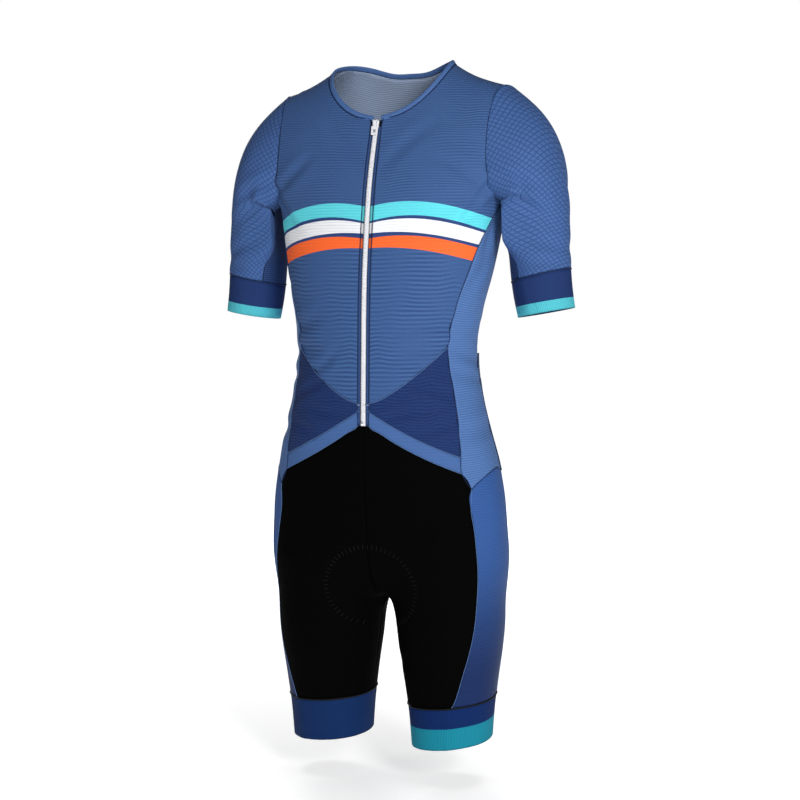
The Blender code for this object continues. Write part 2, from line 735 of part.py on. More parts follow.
# The shorts: a centre seam over the crotch, then an inseam down each leg
LEG_ROWS = SEAT_ROWS + INSEAM_ROWS - 1
FAN_HEIGHT = -0.590
FAN_MIDDLE = np.array([0.0, -0.008, FAN_HEIGHT])
CENTRE_SEAM_SAMPLES = 40
LEG_CENTRE_TOP = -0.470
LEG_CENTRE_DROP = 0.170
INSEAM_START = 0.021


def centre_seam(top, turn, fan_from, rows):
    """Centre seam of the shorts, down the front or the back and round under the crotch."""
    straight = centre_line(top, FAN_HEIGHT, CENTRE_SEAM_SAMPLES, turn)
    angles = np.radians(spaced(0.0, 90.0, CENTRE_SEAM_SAMPLES))
    heading = np.stack([np.zeros_like(angles), fan_from * np.cos(angles), -np.sin(angles)], axis=1)
    under = cast(FAN_MIDDLE, heading)
    line = np.concatenate([straight[:-1], under])
    return even_out(line, rows)


def leg_centres(left, right):
    """Row centres that move from the body's axis at the waist to the leg's axis below."""
    heights = 0.5 * (left[:, 2] + right[:, 2])
    share = smooth_step((LEG_CENTRE_TOP - heights) / LEG_CENTRE_DROP)[:, None]
    return trunk_middle(heights) * (1.0 - share) + leg_middle(heights) * share


def leg_panel(left, right, columns, head=None, foot=None):
    return panel_net(left, right, leg_centres(left, right), columns, head, foot)


def add_leg(side, rise, seams):
    """The shorts' pieces and the band of one leg, made on the left and mirrored if needed."""
    place = np.array([1.0, 1.0, 1.0]) if side == "left" else np.array([-1.0, 1.0, 1.0])

    def piece(name, net, finish, wall=CLOTH, closed=False):
        normals = body_normals(net)
        cloth_piece(name + "_" + side, net * place, finish, normals * place, wall, closed)

    inner_foot = hem_height(LEG_BAND_TOP, np.array(LEG_INNER_TURN), rise)
    crotch = seams["front"][-1]
    heights = spaced(crotch[2] - INSEAM_START, inner_foot, INSEAM_ROWS - 1)
    inner = leg_points(heights, np.full(INSEAM_ROWS, LEG_INNER_TURN))
    front_edge, front_turn = leg_edge(side + "_front", rise, side_tail[-1], LEG_ROWS)
    back_edge, back_turn = leg_edge(side + "_back", rise, side_back[-1], LEG_ROWS)

    def ring_row(first_turn, last_turn, columns, level=LEG_BAND_TOP):
        turns = spaced(first_turn, last_turn, columns)
        return leg_points(hem_height(level, turns, rise), turns)

    front_inner = np.concatenate([seams["front"], inner])
    front_outer = np.concatenate([side_tail[:1], front_edge])
    head = np.concatenate([seams["front"][:1], band_foot_row])
    foot = ring_row(LEG_INNER_TURN - 360.0, front_turn, FRONT_COLUMNS + 1)
    piece("shorts_front", leg_panel(front_inner, front_outer, FRONT_COLUMNS + 1, head, foot),
          BLACK_KNIT)
    foot = ring_row(front_turn, back_turn, SIDE_COLUMNS)
    piece("leg_side", leg_panel(front_edge, back_edge, SIDE_COLUMNS, side_net[-1], foot), LEG_BLUE)
    back_inner = np.concatenate([seams["back"], inner])
    foot = ring_row(back_turn, LEG_INNER_TURN, FRONT_COLUMNS)
    piece("shorts_back", leg_panel(back_edge, back_inner, FRONT_COLUMNS, back_half[-1, ::-1], foot),
          BLACK_KNIT)
    rings = []
    for level in spaced(LEG_BAND_TOP, LEG_HEM, LEG_BAND_ROWS):
        front = ring_row(LEG_INNER_TURN - 360.0, front_turn, FRONT_COLUMNS + 1, level)[:-1]
        outside = ring_row(front_turn, back_turn, SIDE_COLUMNS, level)[:-1]
        back = ring_row(back_turn, LEG_INNER_TURN, FRONT_COLUMNS, level)[:-1]
        rings.append(np.concatenate([front, outside, back]))
    piece("leg_band", np.array(rings), CUFF_NAVY, BAND_CLOTH, True)


centre_seams = {
    "front": centre_seam(BAND_FOOT_INNER, 0.0, -1.0, SEAT_ROWS),
    "back": centre_seam(back_net[-1, FRONT_COLUMNS][2], 180.0, 1.0, SEAT_ROWS - 1),
}
# The hips stand turned a little against the shoulders, so the two legs differ
LegSide = namedtuple("LegSide", "side rise")
LEG_SIDES = [LegSide("left", 0.10), LegSide("right", -0.06)]
for leg in LEG_SIDES:
    add_leg(leg.side, leg.rise, centre_seams)

# Sleeves: one closed net of rings, cut into the outer panel, the underarm panel and the cuff
outer_turns = np.concatenate([armhole_front_turns[::-1], armhole_back_turns[::-1][1:] - 360.0])
outer_hole = np.concatenate([armhole_front[::-1], armhole_back[::-1][1:]])
under_turns = armhole_under_turns[::-1][1:-1] - 360.0
hole_turns = np.concatenate([outer_turns, under_turns])
hole_points = np.concatenate([outer_hole, armhole_under[::-1][1:-1]])
hem_outer = outer_turns * UNDER_FRONT_HEM / UNDER_FRONT_ARMHOLE
hem_under = spaced(UNDER_BACK_HEM, UNDER_FRONT_HEM, SIDE_COLUMNS)[1:-1] - 360.0
hem_turns = np.concatenate([hem_outer, hem_under])
sleeve_shares = np.concatenate([
    spaced(0.0, CUFF_SHARE, SLEEVE_ROWS),
    spaced(CUFF_SHARE, 1.0, CUFF_ROWS)[1:],
])
sleeve_net = np.array([sleeve_ring(share, hole_turns, hem_turns, hole_points)
                       for share in sleeve_shares])
# The inner cloth hangs down beside the body between these heights
UNDERARM_LINE = 0.1660
UNDERARM_NEAR = 0.178
UNDERARM_FADE = 0.055
UNDERARM_TOP = -0.148
UNDERARM_TOP_FADE = 0.028
UNDERARM_FOOT = -0.195
UNDERARM_FOOT_FADE = 0.030


def hang_underarm(net):
    """Draw the inner cloth of the sleeve in towards the body below the armhole."""
    out, height = net[..., 0], net[..., 2]
    share = 1.0 - smooth_step((out - UNDERARM_NEAR) / UNDERARM_FADE)
    share *= smooth_step((UNDERARM_TOP - height) / UNDERARM_TOP_FADE)
    share *= 1.0 - smooth_step((UNDERARM_FOOT - height) / UNDERARM_FOOT_FADE)
    hung = net.copy()
    hung[..., 0] -= share * np.maximum(out - UNDERARM_LINE, 0.0)
    return hung


sleeve_net = hang_underarm(sleeve_net)
sleeve_net[0] = hole_points


def tube_normals(net):
    """Outward directions of a closed net of rings."""
    along = np.gradient(net, axis=0)
    across = np.roll(net, -1, axis=1) - np.roll(net, 1, axis=1)
    normals = np.cross(across, along)
    normals /= np.linalg.norm(normals, axis=2, keepdims=True)
    outward = net - net.mean(axis=1, keepdims=True)
    facing = np.sign(np.sum(normals * outward, axis=2))
    return normals * np.sign(np.median(facing))


sleeve_normals = tube_normals(sleeve_net)
hole_normals = body_normals(hole_points)
sleeve_normals[0] = hole_normals
outer_count = len(outer_turns)
under_columns = list(range(outer_count - 1, len(hole_turns))) + [0]
cuff_row = SLEEVE_ROWS
cloth_pair("sleeve", sleeve_net[:cuff_row + 1, :outer_count], MESH_BLUE,
           sleeve_normals[:cuff_row + 1, :outer_count])
cloth_pair("sleeve_under", sleeve_net[:cuff_row + 1][:, under_columns], UNDER_BLUE,
           sleeve_normals[:cuff_row + 1][:, under_columns])
cloth_pair("cuff", sleeve_net[cuff_row:], CUFF_NAVY, sleeve_normals[cuff_row:],
           wall=BAND_CLOTH, closed=True)


# A point above the neck opening, and how upright the binding stands on the edge
NECK_OPENING = np.array([0.0, NECK_MIDDLE_Y, 0.080])
BINDING_STAND = 0.5
BINDING_GAP = 0.00040
BINDING_END_SHARE = 0.004
# The binding's section: share of its height, then share of its wall out of the body
BindingPoint = namedtuple("BindingPoint", "height depth")
BINDING_SECTION = [
    BindingPoint(0.00, 0.00),
    BindingPoint(0.25, 0.22),
    BindingPoint(0.75, 0.22),
    BindingPoint(1.00, -0.15),
    BindingPoint(1.00, -0.55),
    BindingPoint(0.75, -0.95),
    BindingPoint(0.25, -0.95),
    BindingPoint(0.00, -0.75),
]


def binding_mesh():
    """Collar binding: a flat tube swept round the neckline, open at the zip."""
    half = np.concatenate([neck_back[::-1], neck_front[1:]])
    line = np.concatenate([mirrored(half)[::-1], half[1:]])
    normals = body_normals(line)
    along = np.gradient(line, axis=0)
    rise = np.cross(along, normals)
    rise /= np.linalg.norm(rise, axis=1, keepdims=True)
    towards_neck = NECK_OPENING - line
    rise *= np.sign(np.sum(rise * towards_neck, axis=1, keepdims=True))
    rise = rise + np.array([0.0, 0.0, BINDING_STAND])
    rise /= np.linalg.norm(rise, axis=1, keepdims=True)
    out = np.cross(along, rise)
    out /= np.linalg.norm(out, axis=1, keepdims=True)
    out *= np.sign(np.sum(out * normals, axis=1))[:, None]
    ends = line.copy()
    ends[0] += (line[1] - line[0]) * BINDING_END_SHARE
    ends[-1] += (line[-2] - line[-1]) * BINDING_END_SHARE
    rows = []
    for point in BINDING_SECTION:
        lifted = ends + rise * (BINDING_GAP + point.height * BINDING_HEIGHT)
        rows.append(lifted + out * (point.depth * BINDING_WALL))
    return np.array(rows)


def add_tube(name, rows, finish):
    """A solid swept along its second axis from a closed section, with flat ends."""
    bm = bmesh.new()
    corners, length = rows.shape[:2]
    rings = [[bm.verts.new(rows[corner][place]) for corner in range(corners)]
             for place in range(length)]
    for ring, following in zip(rings[:-1], rings[1:]):
        for corner in range(corners):
            beside = (corner + 1) % corners
            bm.faces.new([ring[corner], ring[beside], following[beside], following[corner]])
    bm.faces.new(rings[0][::-1])
    bm.faces.new(rings[-1])
    add_object(name, bm, finish)


add_tube("collar", binding_mesh(), BINDING_BLUE)

# The zip: navy guards along both front edges and a moulded chain between them
guard_edge = np.concatenate([guard_front, guard_belly[1:], guard_band[1:]])
chain_edge = np.concatenate([chain_front, chain_belly[1:], chain_band[1:]])
guard_net = np.stack([chain_edge, guard_edge], axis=1)
cloth_pair("zip_guard", guard_net, CUFF_NAVY)
chain_net = np.stack([mirrored(chain_edge), chain_edge], axis=1)
cloth_piece("zip_chain", chain_net, CHAIN_WHITE, wall=CHAIN_WALL)

# Slider and pull tab near the top of the zip
SLIDER_DROP = 0.0062
SLIDER_WIDTH = 0.0084
SLIDER_LENGTH = 0.0100
SLIDER_THICK = 0.0026
SLIDER_BEVEL = 0.0007
LUG_RISE = 0.0030
LUG_ROOT = 0.0008
LUG_WIDTH = 0.0009
LUG_LENGTH = 0.0034
LUG_GAP = 0.0042
PIN_RADIUS = 0.0006
PIN_HEIGHT = 0.0030
EYE_CLEARANCE = 0.0003
EYE_WALL = 0.0009
EYE_RADIUS = PIN_RADIUS + EYE_CLEARANCE
HUB_RADIUS = EYE_RADIUS + EYE_WALL
TAB_WIDTH = 0.0086
TAB_LENGTH = 0.0180
TAB_THICK = 0.0013
TAB_BEVEL = 0.0004
TAB_NECK_LENGTH = 0.0075
TAB_OVERLAP = 0.0010
TAB_WINDOW_WIDTH = 0.0036
TAB_WINDOW_LENGTH = 0.0048
CHAIN_CLEARANCE = 0.0004
CUT_MERGE = 0.00004
PULL_REST_TILT = math.radians(7.0)


def joined(pieces, cutters=()):
    """Union the pieces into the first one, then cut the cutters out of it."""
    first = pieces[0]
    for operation, others in (("UNION", pieces[1:]), ("DIFFERENCE", cutters)):
        for other in others:
            cut = first.modifiers.new("join", "BOOLEAN")
            cut.operation = operation
            cut.object = other
    bpy.context.view_layer.update()
    reading = bpy.context.evaluated_depsgraph_get()
    mesh = bpy.data.meshes.new_from_object(first.evaluated_get(reading))
    first.modifiers.clear()
    first.data = mesh
    bm = bmesh.new()
    bm.from_mesh(mesh)
    bmesh.ops.remove_doubles(bm, verts=bm.verts, dist=CUT_MERGE)
    bmesh.ops.dissolve_degenerate(bm, dist=CUT_MERGE, edges=bm.edges)
    bm.to_mesh(mesh)
    bm.free()
    for other in list(pieces[1:]) + list(cutters):
        bpy.data.objects.remove(other, do_unlink=True)
    return first


def block(name, size, middle, bevel=0.0):
    bm = bmesh.new()
    bmesh.ops.create_cube(bm, size=1.0)
    bmesh.ops.scale(bm, vec=size, verts=bm.verts)
    if bevel:
        bmesh.ops.bevel(bm, geom=bm.edges[:], offset=bevel, segments=2, profile=0.5,
                        affect="EDGES")
    bmesh.ops.translate(bm, vec=middle, verts=bm.verts)
    return add_object(name, bm, SLIDER_METAL)


def rod(name, radius, length, middle, sides=12):
    bm = bmesh.new()
    bmesh.ops.create_cone(bm, cap_ends=True, segments=sides, radius1=radius, radius2=radius,
                          depth=length)
    turn = np.array([[0.0, 0.0, 1.0], [0.0, 1.0, 0.0], [-1.0, 0.0, 0.0]])
    for vert in bm.verts:
        vert.co = turn @ np.array(vert.co) + np.array(middle)
    return add_object(name, bm, SLIDER_METAL)


slider_line = line_beside_zip(NECK_FRONT - SLIDER_DROP, NECK_FRONT - SLIDER_DROP - SLIDER_LENGTH,
                              1, 0.0)
slider_at = slider_line[0]
slider_down = unit(slider_line[1] - slider_line[0])
slider_slope = math.atan2(-slider_down[1], -slider_down[2])
PIN_AT = np.array([0.0, -(SLIDER_THICK + HUB_RADIUS + EYE_CLEARANCE), PIN_HEIGHT])


def tilt_piece(piece, pivot, angle):
    """Turn a piece about a line that runs across the suit through the pivot."""
    cosine, sine = math.cos(angle), math.sin(angle)
    for vert in piece.data.vertices:
        y = vert.co.y - pivot[1]
        z = vert.co.z - pivot[2]
        vert.co.y = pivot[1] + y * cosine - z * sine
        vert.co.z = pivot[2] + y * sine + z * cosine


def to_zip(piece):
    """Take a slider piece from its own upright frame into place on the sloping zip."""
    tilt_piece(piece, (0.0, CHAIN_CLEARANCE, 0.0), -slider_slope)
    for vert in piece.data.vertices:
        vert.co.y += slider_at[1] - CHAIN_CLEARANCE
        vert.co.z += slider_at[2]


def make_slider():
    body = block("zip_slider", (SLIDER_WIDTH, SLIDER_THICK, SLIDER_LENGTH),
                 (0.0, -SLIDER_THICK / 2, 0.0), SLIDER_BEVEL)
    lug_depth = LUG_RISE + LUG_ROOT
    lug_y = -SLIDER_THICK + LUG_ROOT - lug_depth / 2
    pieces = [body]
    for side in (-1, 1):
        lug_x = side * (LUG_GAP + LUG_WIDTH) / 2
        pieces.append(block("lug", (LUG_WIDTH, lug_depth, LUG_LENGTH), (lug_x, lug_y, PIN_HEIGHT)))
    pieces.append(rod("pin", PIN_RADIUS, LUG_GAP + LUG_WIDTH, PIN_AT))
    to_zip(joined(pieces))


def make_pull():
    neck_width = LUG_GAP - 2 * EYE_CLEARANCE
    neck_top = PIN_HEIGHT - EYE_RADIUS
    plate_top = PIN_HEIGHT - TAB_NECK_LENGTH + TAB_OVERLAP
    plate_foot = PIN_HEIGHT - TAB_LENGTH
    hub = rod("zip_pull", HUB_RADIUS, neck_width, PIN_AT, 16)
    neck = block("neck", (neck_width, TAB_THICK, TAB_NECK_LENGTH),
                 (0.0, PIN_AT[1], neck_top - TAB_NECK_LENGTH / 2))
    plate = block("plate", (TAB_WIDTH, TAB_THICK, plate_top - plate_foot),
                  (0.0, PIN_AT[1], (plate_top + plate_foot) / 2), TAB_BEVEL)
    hole = rod("hole", EYE_RADIUS, LUG_GAP, PIN_AT, 16)
    window = block("window", (TAB_WINDOW_WIDTH, 3 * TAB_THICK, TAB_WINDOW_LENGTH),
                   (0.0, PIN_AT[1], plate_foot + TAB_WINDOW_LENGTH))
    pull = joined([hub, neck, plate], [hole, window])
    pull.data.materials.clear()
    pull.data.materials.append(PULL_METAL)
    # At rest the tab's free end leans towards the chain
    tilt_piece(pull, PIN_AT, PULL_REST_TILT)
    to_zip(pull)


make_slider()
make_pull()
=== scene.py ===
import math
from collections import namedtuple

import bpy
import numpy as np
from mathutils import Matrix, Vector
from mathutils.bvhtree import BVHTree
from mathutils.geometry import intersect_point_line
from mathutils.kdtree import KDTree


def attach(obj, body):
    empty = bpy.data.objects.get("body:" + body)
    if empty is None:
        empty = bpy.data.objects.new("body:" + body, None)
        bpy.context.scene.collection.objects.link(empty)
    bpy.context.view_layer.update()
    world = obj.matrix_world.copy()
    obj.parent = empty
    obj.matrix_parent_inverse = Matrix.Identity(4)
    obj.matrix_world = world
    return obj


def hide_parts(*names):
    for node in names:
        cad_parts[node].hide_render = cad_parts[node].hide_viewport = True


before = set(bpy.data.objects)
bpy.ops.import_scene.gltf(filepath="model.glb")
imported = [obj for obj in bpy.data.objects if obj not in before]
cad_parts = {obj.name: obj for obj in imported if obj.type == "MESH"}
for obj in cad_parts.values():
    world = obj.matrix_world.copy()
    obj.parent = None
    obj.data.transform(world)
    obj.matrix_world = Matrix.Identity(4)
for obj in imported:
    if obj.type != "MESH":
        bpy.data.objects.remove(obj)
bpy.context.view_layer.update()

# Front panels
# Two panels of ribbed polyester knit run from the neck to the curved waist seam, one each side
# of the zip. The ribs lie across the body, and three stripes are printed over the chest.
MILLIMETRE = 0.001
CLOTH_WALL = 0.0011
PIECE_BODY = "suit"
# Points of the CAD's loose triangles this near are one, and a bend sharper than this is a rim
MERGE = 0.00002
RIM_ANGLE = math.radians(50.0)
# The most that two triangles may bend and lean when they are joined to a quad
QUAD_BEND = math.radians(70.0)
QUAD_LEAN = math.radians(85.0)
ROUNDING_TRIES = 3
# The upright line that a limb or the trunk is wrapped round
Axis = namedtuple("Axis", "top foot")
TRUNK_AXIS = Axis(Vector((0.0, -0.005, -0.120)), Vector((0.0, -0.005, -0.900)))


def select_only(piece):
    bpy.ops.object.select_all(action="DESELECT")
    piece.select_set(True)
    bpy.context.view_layer.objects.active = piece


def open_copy(node, name):
    """A bare copy of a CAD node with its triangles merged, all selected and still in edit mode."""
    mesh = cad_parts[node].data.copy()
    mesh.materials.clear()
    piece = bpy.data.objects.new(name, mesh)
    bpy.context.collection.objects.link(piece)
    select_only(piece)
    bpy.ops.mesh.customdata_custom_splitnormals_clear()
    bpy.ops.object.mode_set(mode="EDIT")
    bpy.ops.mesh.select_mode(type="FACE")
    bpy.ops.mesh.select_all(action="SELECT")
    bpy.ops.mesh.remove_doubles(threshold=MERGE)
    return piece


def close_copy():
    """Join what is selected into quads and leave edit mode."""
    bpy.ops.mesh.tris_convert_to_quads(face_threshold=QUAD_BEND, shape_threshold=QUAD_LEAN)
    bpy.ops.object.mode_set(mode="OBJECT")


def outer_face(node, name, axis=TRUNK_AXIS):
    """A new sheet from the outer face of a cloth wall that stands round an axis."""
    piece = open_copy(node, name)
    bpy.ops.mesh.select_all(action="DESELECT")
    bpy.ops.object.mode_set(mode="OBJECT")

    def facing(face):
        share = intersect_point_line(face.center, axis.top, axis.foot)[1]
        middle = axis.top.lerp(axis.foot, min(max(share, 0.0), 1.0))
        return face.normal.dot((face.center - middle).normalized()) * face.area

    max(piece.data.polygons, key=facing).select = True
    bpy.ops.object.mode_set(mode="EDIT")
    bpy.ops.mesh.faces_select_linked_flat(sharpness=RIM_ANGLE)
    bpy.ops.mesh.select_all(action="INVERT")
    bpy.ops.mesh.delete(type="FACE")
    bpy.ops.mesh.select_all(action="SELECT")
    close_copy()
    return piece


def mesh_points(mesh):
    points = np.empty(len(mesh.vertices) * 3)
    mesh.vertices.foreach_get("co", points)
    return points.reshape(-1, 3)


def mesh_normals(mesh):
    normals = np.empty(len(mesh.vertices) * 3)
    mesh.vertex_normals.foreach_get("vector", normals)
    return normals.reshape(-1, 3)


def mesh_area(mesh):
    return sum(face.area for face in mesh.polygons)


def new_cut_layer(mesh):
    while mesh.uv_layers:
        mesh.uv_layers.remove(mesh.uv_layers[0])
    mesh.uv_layers.new(name="cut")


def tightest_rectangle(cut):
    """The width and length of the smallest rectangle that the flat cut can be cut from."""
    sizes = []
    for turn in np.radians(np.arange(0.0, 90.0, 2.0)):
        cosine, sine = math.cos(turn), math.sin(turn)
        turned = cut @ np.array([[cosine, -sine], [sine, cosine]])
        sizes.append(turned.max(axis=0) - turned.min(axis=0))
    return min(sizes, key=lambda size: size[0] * size[1])


def lay_flat(piece):
    """Unroll a sheet into its cut in metres, with v up the body, and return its width and length."""
    mesh = piece.data
    new_cut_layer(mesh)
    select_only(piece)
    bpy.ops.object.mode_set(mode="EDIT")
    bpy.ops.mesh.select_all(action="SELECT")
    bpy.ops.uv.unwrap(method="ANGLE_BASED", margin=0.0)
    bpy.ops.object.mode_set(mode="OBJECT")
    layer = mesh.uv_layers["cut"].data
    cut = np.empty(len(layer) * 2)
    layer.foreach_get("uv", cut)
    cut = cut.reshape(-1, 2)
    flat_area = 0.0
    for face in mesh.polygons:
        u, v = cut[list(face.loop_indices)].T
        flat_area += 0.5 * abs(np.dot(u, np.roll(v, -1)) - np.dot(v, np.roll(u, -1)))
    cut *= math.sqrt(mesh_area(mesh) / flat_area)
    corner = np.empty(len(mesh.loops), dtype=int)
    mesh.loops.foreach_get("vertex_index", corner)
    height = mesh_points(mesh)[corner, 2]
    way = np.linalg.lstsq(np.c_[cut, np.ones(len(cut))], height, rcond=None)[0][:2]
    way /= np.linalg.norm(way)
    cut = np.stack([cut @ np.array([way[1], -way[0]]), cut @ way], axis=1)
    cut -= cut.min(axis=0)
    layer.foreach_set("uv", cut.ravel())
    return tightest_rectangle(cut)


def smooth_cloth(piece, levels):
    """Round a sheet so that it still passes through the points that it was made from."""
    select_only(piece)
    rounding = piece.modifiers.new("rounding", "SUBSURF")
    rounding.levels = levels
    rounding.render_levels = levels
    rounding.boundary_smooth = "PRESERVE_CORNERS"
    wanted = mesh_points(piece.data)
    for _ in range(ROUNDING_TRIES):
        shown = piece.evaluated_get(bpy.context.evaluated_depsgraph_get()).data
        reached = mesh_points(shown)[:len(wanted)]
        moved = mesh_points(piece.data) + wanted - reached
        piece.data.vertices.foreach_set("co", moved.ravel())
        piece.data.update()
    bpy.ops.object.modifier_apply(modifier=rounding.name)
    piece.data.shade_smooth()


# A soft trough with a low ridge along both sides: its middle and its way, and its half length,
# half width, depth and bow in millimetres. Cloth further from its middle than the reach is spared.
Crease = namedtuple("Crease", "place along length width depth bow")
CREASE_REACH = 0.045


def lay_creases(piece, creases, mirror=False):
    """Press creases that are listed for the left half into a sheet of either half."""
    points = mesh_points(piece.data)
    normals = mesh_normals(piece.data)
    move = np.zeros(len(points))
    flip = np.array([-1.0, 1.0, 1.0]) if mirror else np.ones(3)
    for crease in creases:
        away = points - np.array(crease.place) * flip * MILLIMETRE
        nearest = np.argmin(np.sum(away * away, axis=1))
        if np.linalg.norm(away[nearest]) > CREASE_REACH:
            continue
        along = np.array(crease.along) * flip
        along = along / np.linalg.norm(along)
        out = normals[nearest]
        side = np.cross(along, out)
        run = away @ along / (crease.length * MILLIMETRE)
        across = (away @ side + crease.bow * MILLIMETRE * run * run) / (crease.width * MILLIMETRE)
        taper = np.clip(1.0 - run * run, 0.0, 1.0) ** 1.5
        near = np.exp(-(((away @ out) / CREASE_REACH) ** 2))
        trough = (1.0 - across ** 2) * np.exp(-0.5 * across ** 2)
        move -= crease.depth * MILLIMETRE * trough * taper * near
    points += normals * move[:, None]
    piece.data.vertices.foreach_set("co", points.ravel())
    piece.data.update()


def border_loops(mesh):
    """Closed rings of vertex numbers round the border of a sheet."""
    uses = {}
    for face in mesh.polygons:
        for key in face.edge_keys:
            uses[key] = uses.get(key, 0) + 1
    beside = {}
    for first, second in (key for key, count in uses.items() if count == 1):
        beside.setdefault(first, []).append(second)
        beside.setdefault(second, []).append(first)
    loops = []
    left = set(beside)
    while left:
        ring = [min(left)]
        left.discard(ring[0])
        while True:
            following = [vert for vert in beside[ring[-1]] if vert in left]
            if not following:
                break
            ring.append(following[0])
            left.discard(following[0])
        loops.append(ring)
    return loops


def measure_edge(piece):
    """Store each point's distance from the sheet's border, for the painted seam shade in its
    material.
    """
    mesh = piece.data
    points = mesh_points(mesh)
    rings = border_loops(mesh)
    tree = KDTree(sum(len(ring) for ring in rings))
    for ring in rings:
        for vert in ring:
            tree.insert(points[vert], vert)
    tree.balance()
    distance = np.array([tree.find(point)[2] for point in points], dtype=np.float32)
    mesh.attributes.new("from_edge", "FLOAT", "POINT").data.foreach_set("value", distance)


# A border this near a neighbour is sewn to it. Cords lie just off the cloth, and their radii are
# those of the thread in a flat seam and of the thicker roll under the neck binding.
SEAM_NEAR = 0.0032
SEAM_LIFT = 0.0001
SEAM_CORD = 0.00035
NECK_CORD = 0.0008
CORD_ROUNDNESS = 1


def node_tree_of(node):
    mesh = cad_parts[node].data
    corners = [vert.co for vert in mesh.vertices]
    return BVHTree.FromPolygons(corners, [tuple(face.vertices) for face in mesh.polygons])


def seam_runs(piece, neighbours):
    """Lines of points along the border of a sheet where it meets any of these nodes."""
    beside = [node_tree_of(node) for node in neighbours]
    points = mesh_points(piece.data)
    normals = mesh_normals(piece.data)
    lines = []
    for ring in border_loops(piece.data):
        near = []
        for vert in ring:
            place = Vector(points[vert])
            near.append(min(tree.find_nearest(place)[3] for tree in beside) < SEAM_NEAR)
        if all(near):
            lines.append([*ring, ring[0]])
            continue
        start = near.index(False)
        run = []
        for step in range(len(ring) + 1):
            at = (start + step) % len(ring)
            if near[at]:
                run.append(ring[at])
            elif run:
                lines.append(run)
                run = []
    return [points[run] + normals[run] * SEAM_LIFT for run in lines if len(run) > 2]


def thread_lines(name, lines, radius, finish):
    """One mesh of thin round cords along these lines."""
    curve = bpy.data.curves.new(name, "CURVE")
    curve.dimensions = "3D"
    curve.bevel_depth = radius
    curve.bevel_resolution = CORD_ROUNDNESS
    curve.use_fill_caps = True
    for line in lines:
        spline = curve.splines.new("POLY")
        spline.points.add(len(line) - 1)
        for point, place in zip(spline.points, line):
            point.co = (*place, 1.0)
    cord = bpy.data.objects.new(name, curve)
    bpy.context.collection.objects.link(cord)
    select_only(cord)
    bpy.ops.object.convert(target="MESH")
    cord = bpy.context.view_layer.objects.active
    cord.data.name = name
    cord.data.materials.clear()
    cord.data.materials.append(finish)
    cord.data.shade_smooth()
    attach(cord, PIECE_BODY)
    return cord


def back_cloth(piece, node, face, reverse):
    """Give a sheet its wall and its two faces, hide the CAD node that it stands for, and hang it on
    the suit.
    """
    measure_edge(piece)
    piece.data.materials.append(face)
    piece.data.materials.append(reverse)
    select_only(piece)
    backing = piece.modifiers.new("backing", "SOLIDIFY")
    backing.thickness = CLOTH_WALL
    backing.offset = -1.0
    backing.material_offset = 1
    backing.material_offset_rim = 0
    bpy.ops.object.modifier_apply(modifier=backing.name)
    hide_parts(node)
    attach(piece, PIECE_BODY)


def finish_cloth(piece, node, face, reverse):
    back_cloth(piece, node, face, reverse)


def linear(code):
    """A linear colour from an sRGB hex code."""
    shares = [int(code[place:place + 2], 16) / 255 for place in (1, 3, 5)]
    return (*[s / 12.92 if s <= 0.04045 else ((s + 0.055) / 1.055) ** 2.4 for s in shares], 1.0)


def add_node(tree, kind, settings=None, inputs=None):
    """A node with its settings, and its inputs linked or set, by the socket's name or number."""
    node = tree.nodes.new("ShaderNode" + kind)
    for name, value in (settings or {}).items():
        setattr(node, name, value)
    for socket, value in (inputs or {}).items():
        if isinstance(value, bpy.types.NodeSocket):
            tree.links.new(value, node.inputs[socket])
        else:
            node.inputs[socket].default_value = value
    return node


def blend_colours(tree, share, first, second, kind="MIX"):
    """Two colours mixed; on a Mix node for colours they are sockets 6 and 7, and the result is 2."""
    mixed = add_node(tree, "Mix", {"data_type": "RGBA", "blend_type": kind},
                     {0: share, 6: first, 7: second})
    return mixed.outputs[2]


def start_cloth(name, roughness, sheen=0.03, specular=0.2):
    """A matt cloth with a soft sheen at grazing angles, and the place on its flat cut in metres."""
    finish = bpy.data.materials.new(name)
    finish.use_nodes = True
    tree = finish.node_tree
    shader = tree.nodes["Principled BSDF"]
    shader.inputs["Roughness"].default_value = roughness
    shader.inputs["Specular IOR Level"].default_value = specular
    shader.inputs["Sheen Weight"].default_value = sheen
    shader.inputs["Sheen Roughness"].default_value = 0.5
    cut = add_node(tree, "UVMap", {"uv_map": "cut"}).outputs["UV"]
    return finish, tree, cut


def waves(tree, place, pitch, distortion, direction="Y", wobble=0.02):
    """Rows at a pitch in metres, from 0 in the furrows to 1 on the crests. A wobble, in metres,
    sets the length over which they wander. At scale 1 the texture turns 20 radians to the metre."""
    return add_node(tree, "TexWave", {"bands_direction": direction},
                    {"Vector": place, "Scale": math.tau / (20.0 * pitch), "Distortion": distortion,
                     "Detail": 1.0, "Detail Scale": pitch / wobble}).outputs["Fac"]


def grain(tree, place, size, detail=2.0):
    """Soft uneven patches of a size in metres."""
    return add_node(tree, "TexNoise", {}, {"Vector": place, "Scale": 1.0 / size,
                                           "Detail": detail}).outputs["Fac"]


# Painted shade: the dark line where cloth turns into a seam is full up to one distance and gone
# at the other
SEAM_PAINTED_SHADE_FULL = 0.0003
SEAM_PAINTED_SHADE_WIDTH = 0.0011


